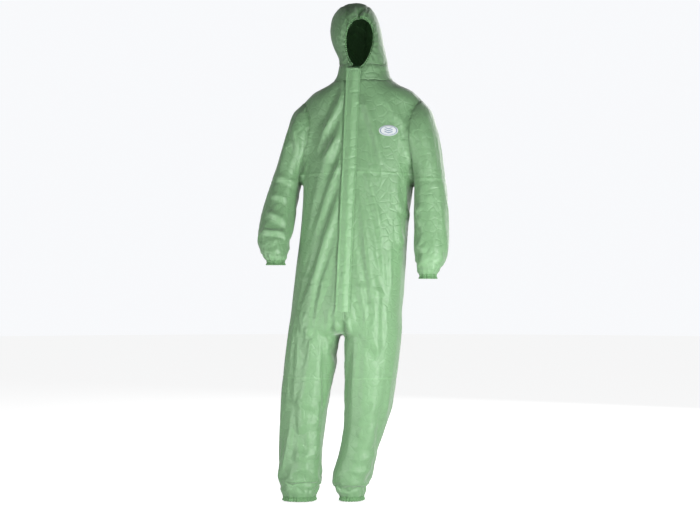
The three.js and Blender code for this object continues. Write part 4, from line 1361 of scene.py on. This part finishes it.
class SetStage(bpy.types.Operator):
    """Set the floor, the soft lights and the camera. Floor and sky look brighter than they light"""

    bl_idname = "coverall.set_stage"
    bl_label = "Stage"

    def execute(self, context):
        scene = context.scene
        colours = scene.coverall_colours
        floor_z = CAD_BOX[0][2] - 0.004
        turn = np.linspace(0, 2 * math.pi, 96, endpoint=False)
        rim = np.stack([14 * np.cos(turn), 14 * np.sin(turn), np.full(96, floor_z)], -1)
        backdrop = make_object("floor", make_mesh("floor", rim, [list(range(96))]))
        material, tree, shader = material_of("Pale floor")
        place = add_node(tree, "ShaderNodeTexCoord").outputs["Object"]
        speck = add_node(tree, "ShaderNodeTexNoise", {"Vector": place, "Scale": 3.0, "Detail": 3.0})
        tone = mixed(tree, speck.outputs["Fac"], shade(colours.floor, 0.985), shade(colours.floor, 1.015))
        tree.links.new(tone, shader.inputs["Base Color"])
        shader.inputs["Roughness"].default_value = 0.9
        seen = add_node(tree, "ShaderNodeLightPath").outputs["Is Camera Ray"]
        shader.inputs["Emission Color"].default_value = (1, 1, 1, 1)
        tree.links.new(maths(tree, "MULTIPLY", seen, 0.80), shader.inputs["Emission Strength"])
        backdrop.data.materials.append(material)
        world = bpy.data.worlds.new("Studio")
        world.use_nodes = True
        sky = world.node_tree.nodes["Background"]
        sky.inputs["Color"].default_value = (0.97, 0.98, 1.0, 1)
        seen = add_node(world.node_tree, "ShaderNodeLightPath").outputs["Is Camera Ray"]
        strength = maths(world.node_tree, "MULTIPLY_ADD", seen, 0.83, 0.14)
        world.node_tree.links.new(strength, sky.inputs["Strength"])
        scene.world = world
        scene.view_settings.view_transform = "Standard"
        for name, place, aim, size, power in (
                ("Key light", (1.35, -1.35, -1.0), (-0.05, 0, -1.0), 0.8, 42),
                ("Fill light", (-1.35, -1.65, -1.15), (-0.1, 0, -1.05), 0.8, 24),
                ("Top light", (-1.6, -3.0, 1.9), (0, 0, -0.2), 1.4, 5),
                ("Back light", (1.2, 3.4, 0.6), (0, 0, -0.7), 2.2, 70)):
            lamp = bpy.data.lights.new(name, "AREA")
            lamp.energy, lamp.size = power, size
            light = bpy.data.objects.new(name, lamp)
            scene.collection.objects.link(light)
            light.location = place
            light.rotation_euler = (Vector(aim) - Vector(place)).to_track_quat("-Z", "Y").to_euler()
        away = 6.0
        ahead = np.array([-math.sin(SIGHT), math.cos(SIGHT), 0])
        aim = np.array([-0.054 * math.cos(SIGHT), -0.054 * math.sin(SIGHT), -0.648])
        lens = bpy.data.cameras.new("Camera")
        lens.lens, lens.sensor_width = 85.7, 36
        camera = bpy.data.objects.new("Camera", lens)
        scene.collection.objects.link(camera)
        camera.location = aim - ahead * away
        camera.rotation_euler = Vector(ahead).to_track_quat("-Z", "Y").to_euler()
        scene.camera = camera
        return {"FINISHED"}


class CoverallPanel(bpy.types.Panel):
    """Sizes, colours and steps of the coverall"""

    bl_idname = "VIEW3D_PT_coverall"
    bl_label = "Coverall"
    bl_space_type = "VIEW_3D"
    bl_region_type = "UI"
    bl_category = "Coverall"

    def draw(self, context):
        for settings in (context.scene.coverall_sizes, context.scene.coverall_colours):
            box = self.layout.box()
            for name in settings.__annotations__:
                box.prop(settings, name)
        for step in STEPS:
            self.layout.operator(step.bl_idname)


STEPS = (SewSuit, MakeElastics, MakeFlap, MakeZip, MakeBadge, SetStage)
CLASSES = (CoverallSizes, CoverallColours, *STEPS, CoverallPanel)


def register():
    for item in CLASSES:
        bpy.utils.register_class(item)
    bpy.types.Scene.coverall_sizes = PointerProperty(type=CoverallSizes)
    bpy.types.Scene.coverall_colours = PointerProperty(type=CoverallColours)


def unregister():
    del bpy.types.Scene.coverall_sizes, bpy.types.Scene.coverall_colours
    for item in reversed(CLASSES):
        bpy.utils.unregister_class(item)


def main():
    register()
    bpy.ops.coverall.sew_suit()
    bpy.ops.coverall.make_elastics()
    bpy.ops.coverall.make_flap()
    bpy.ops.coverall.make_zip()
    bpy.ops.coverall.make_badge()
    bpy.ops.coverall.set_stage()


if __name__ == "__main__":
    main()
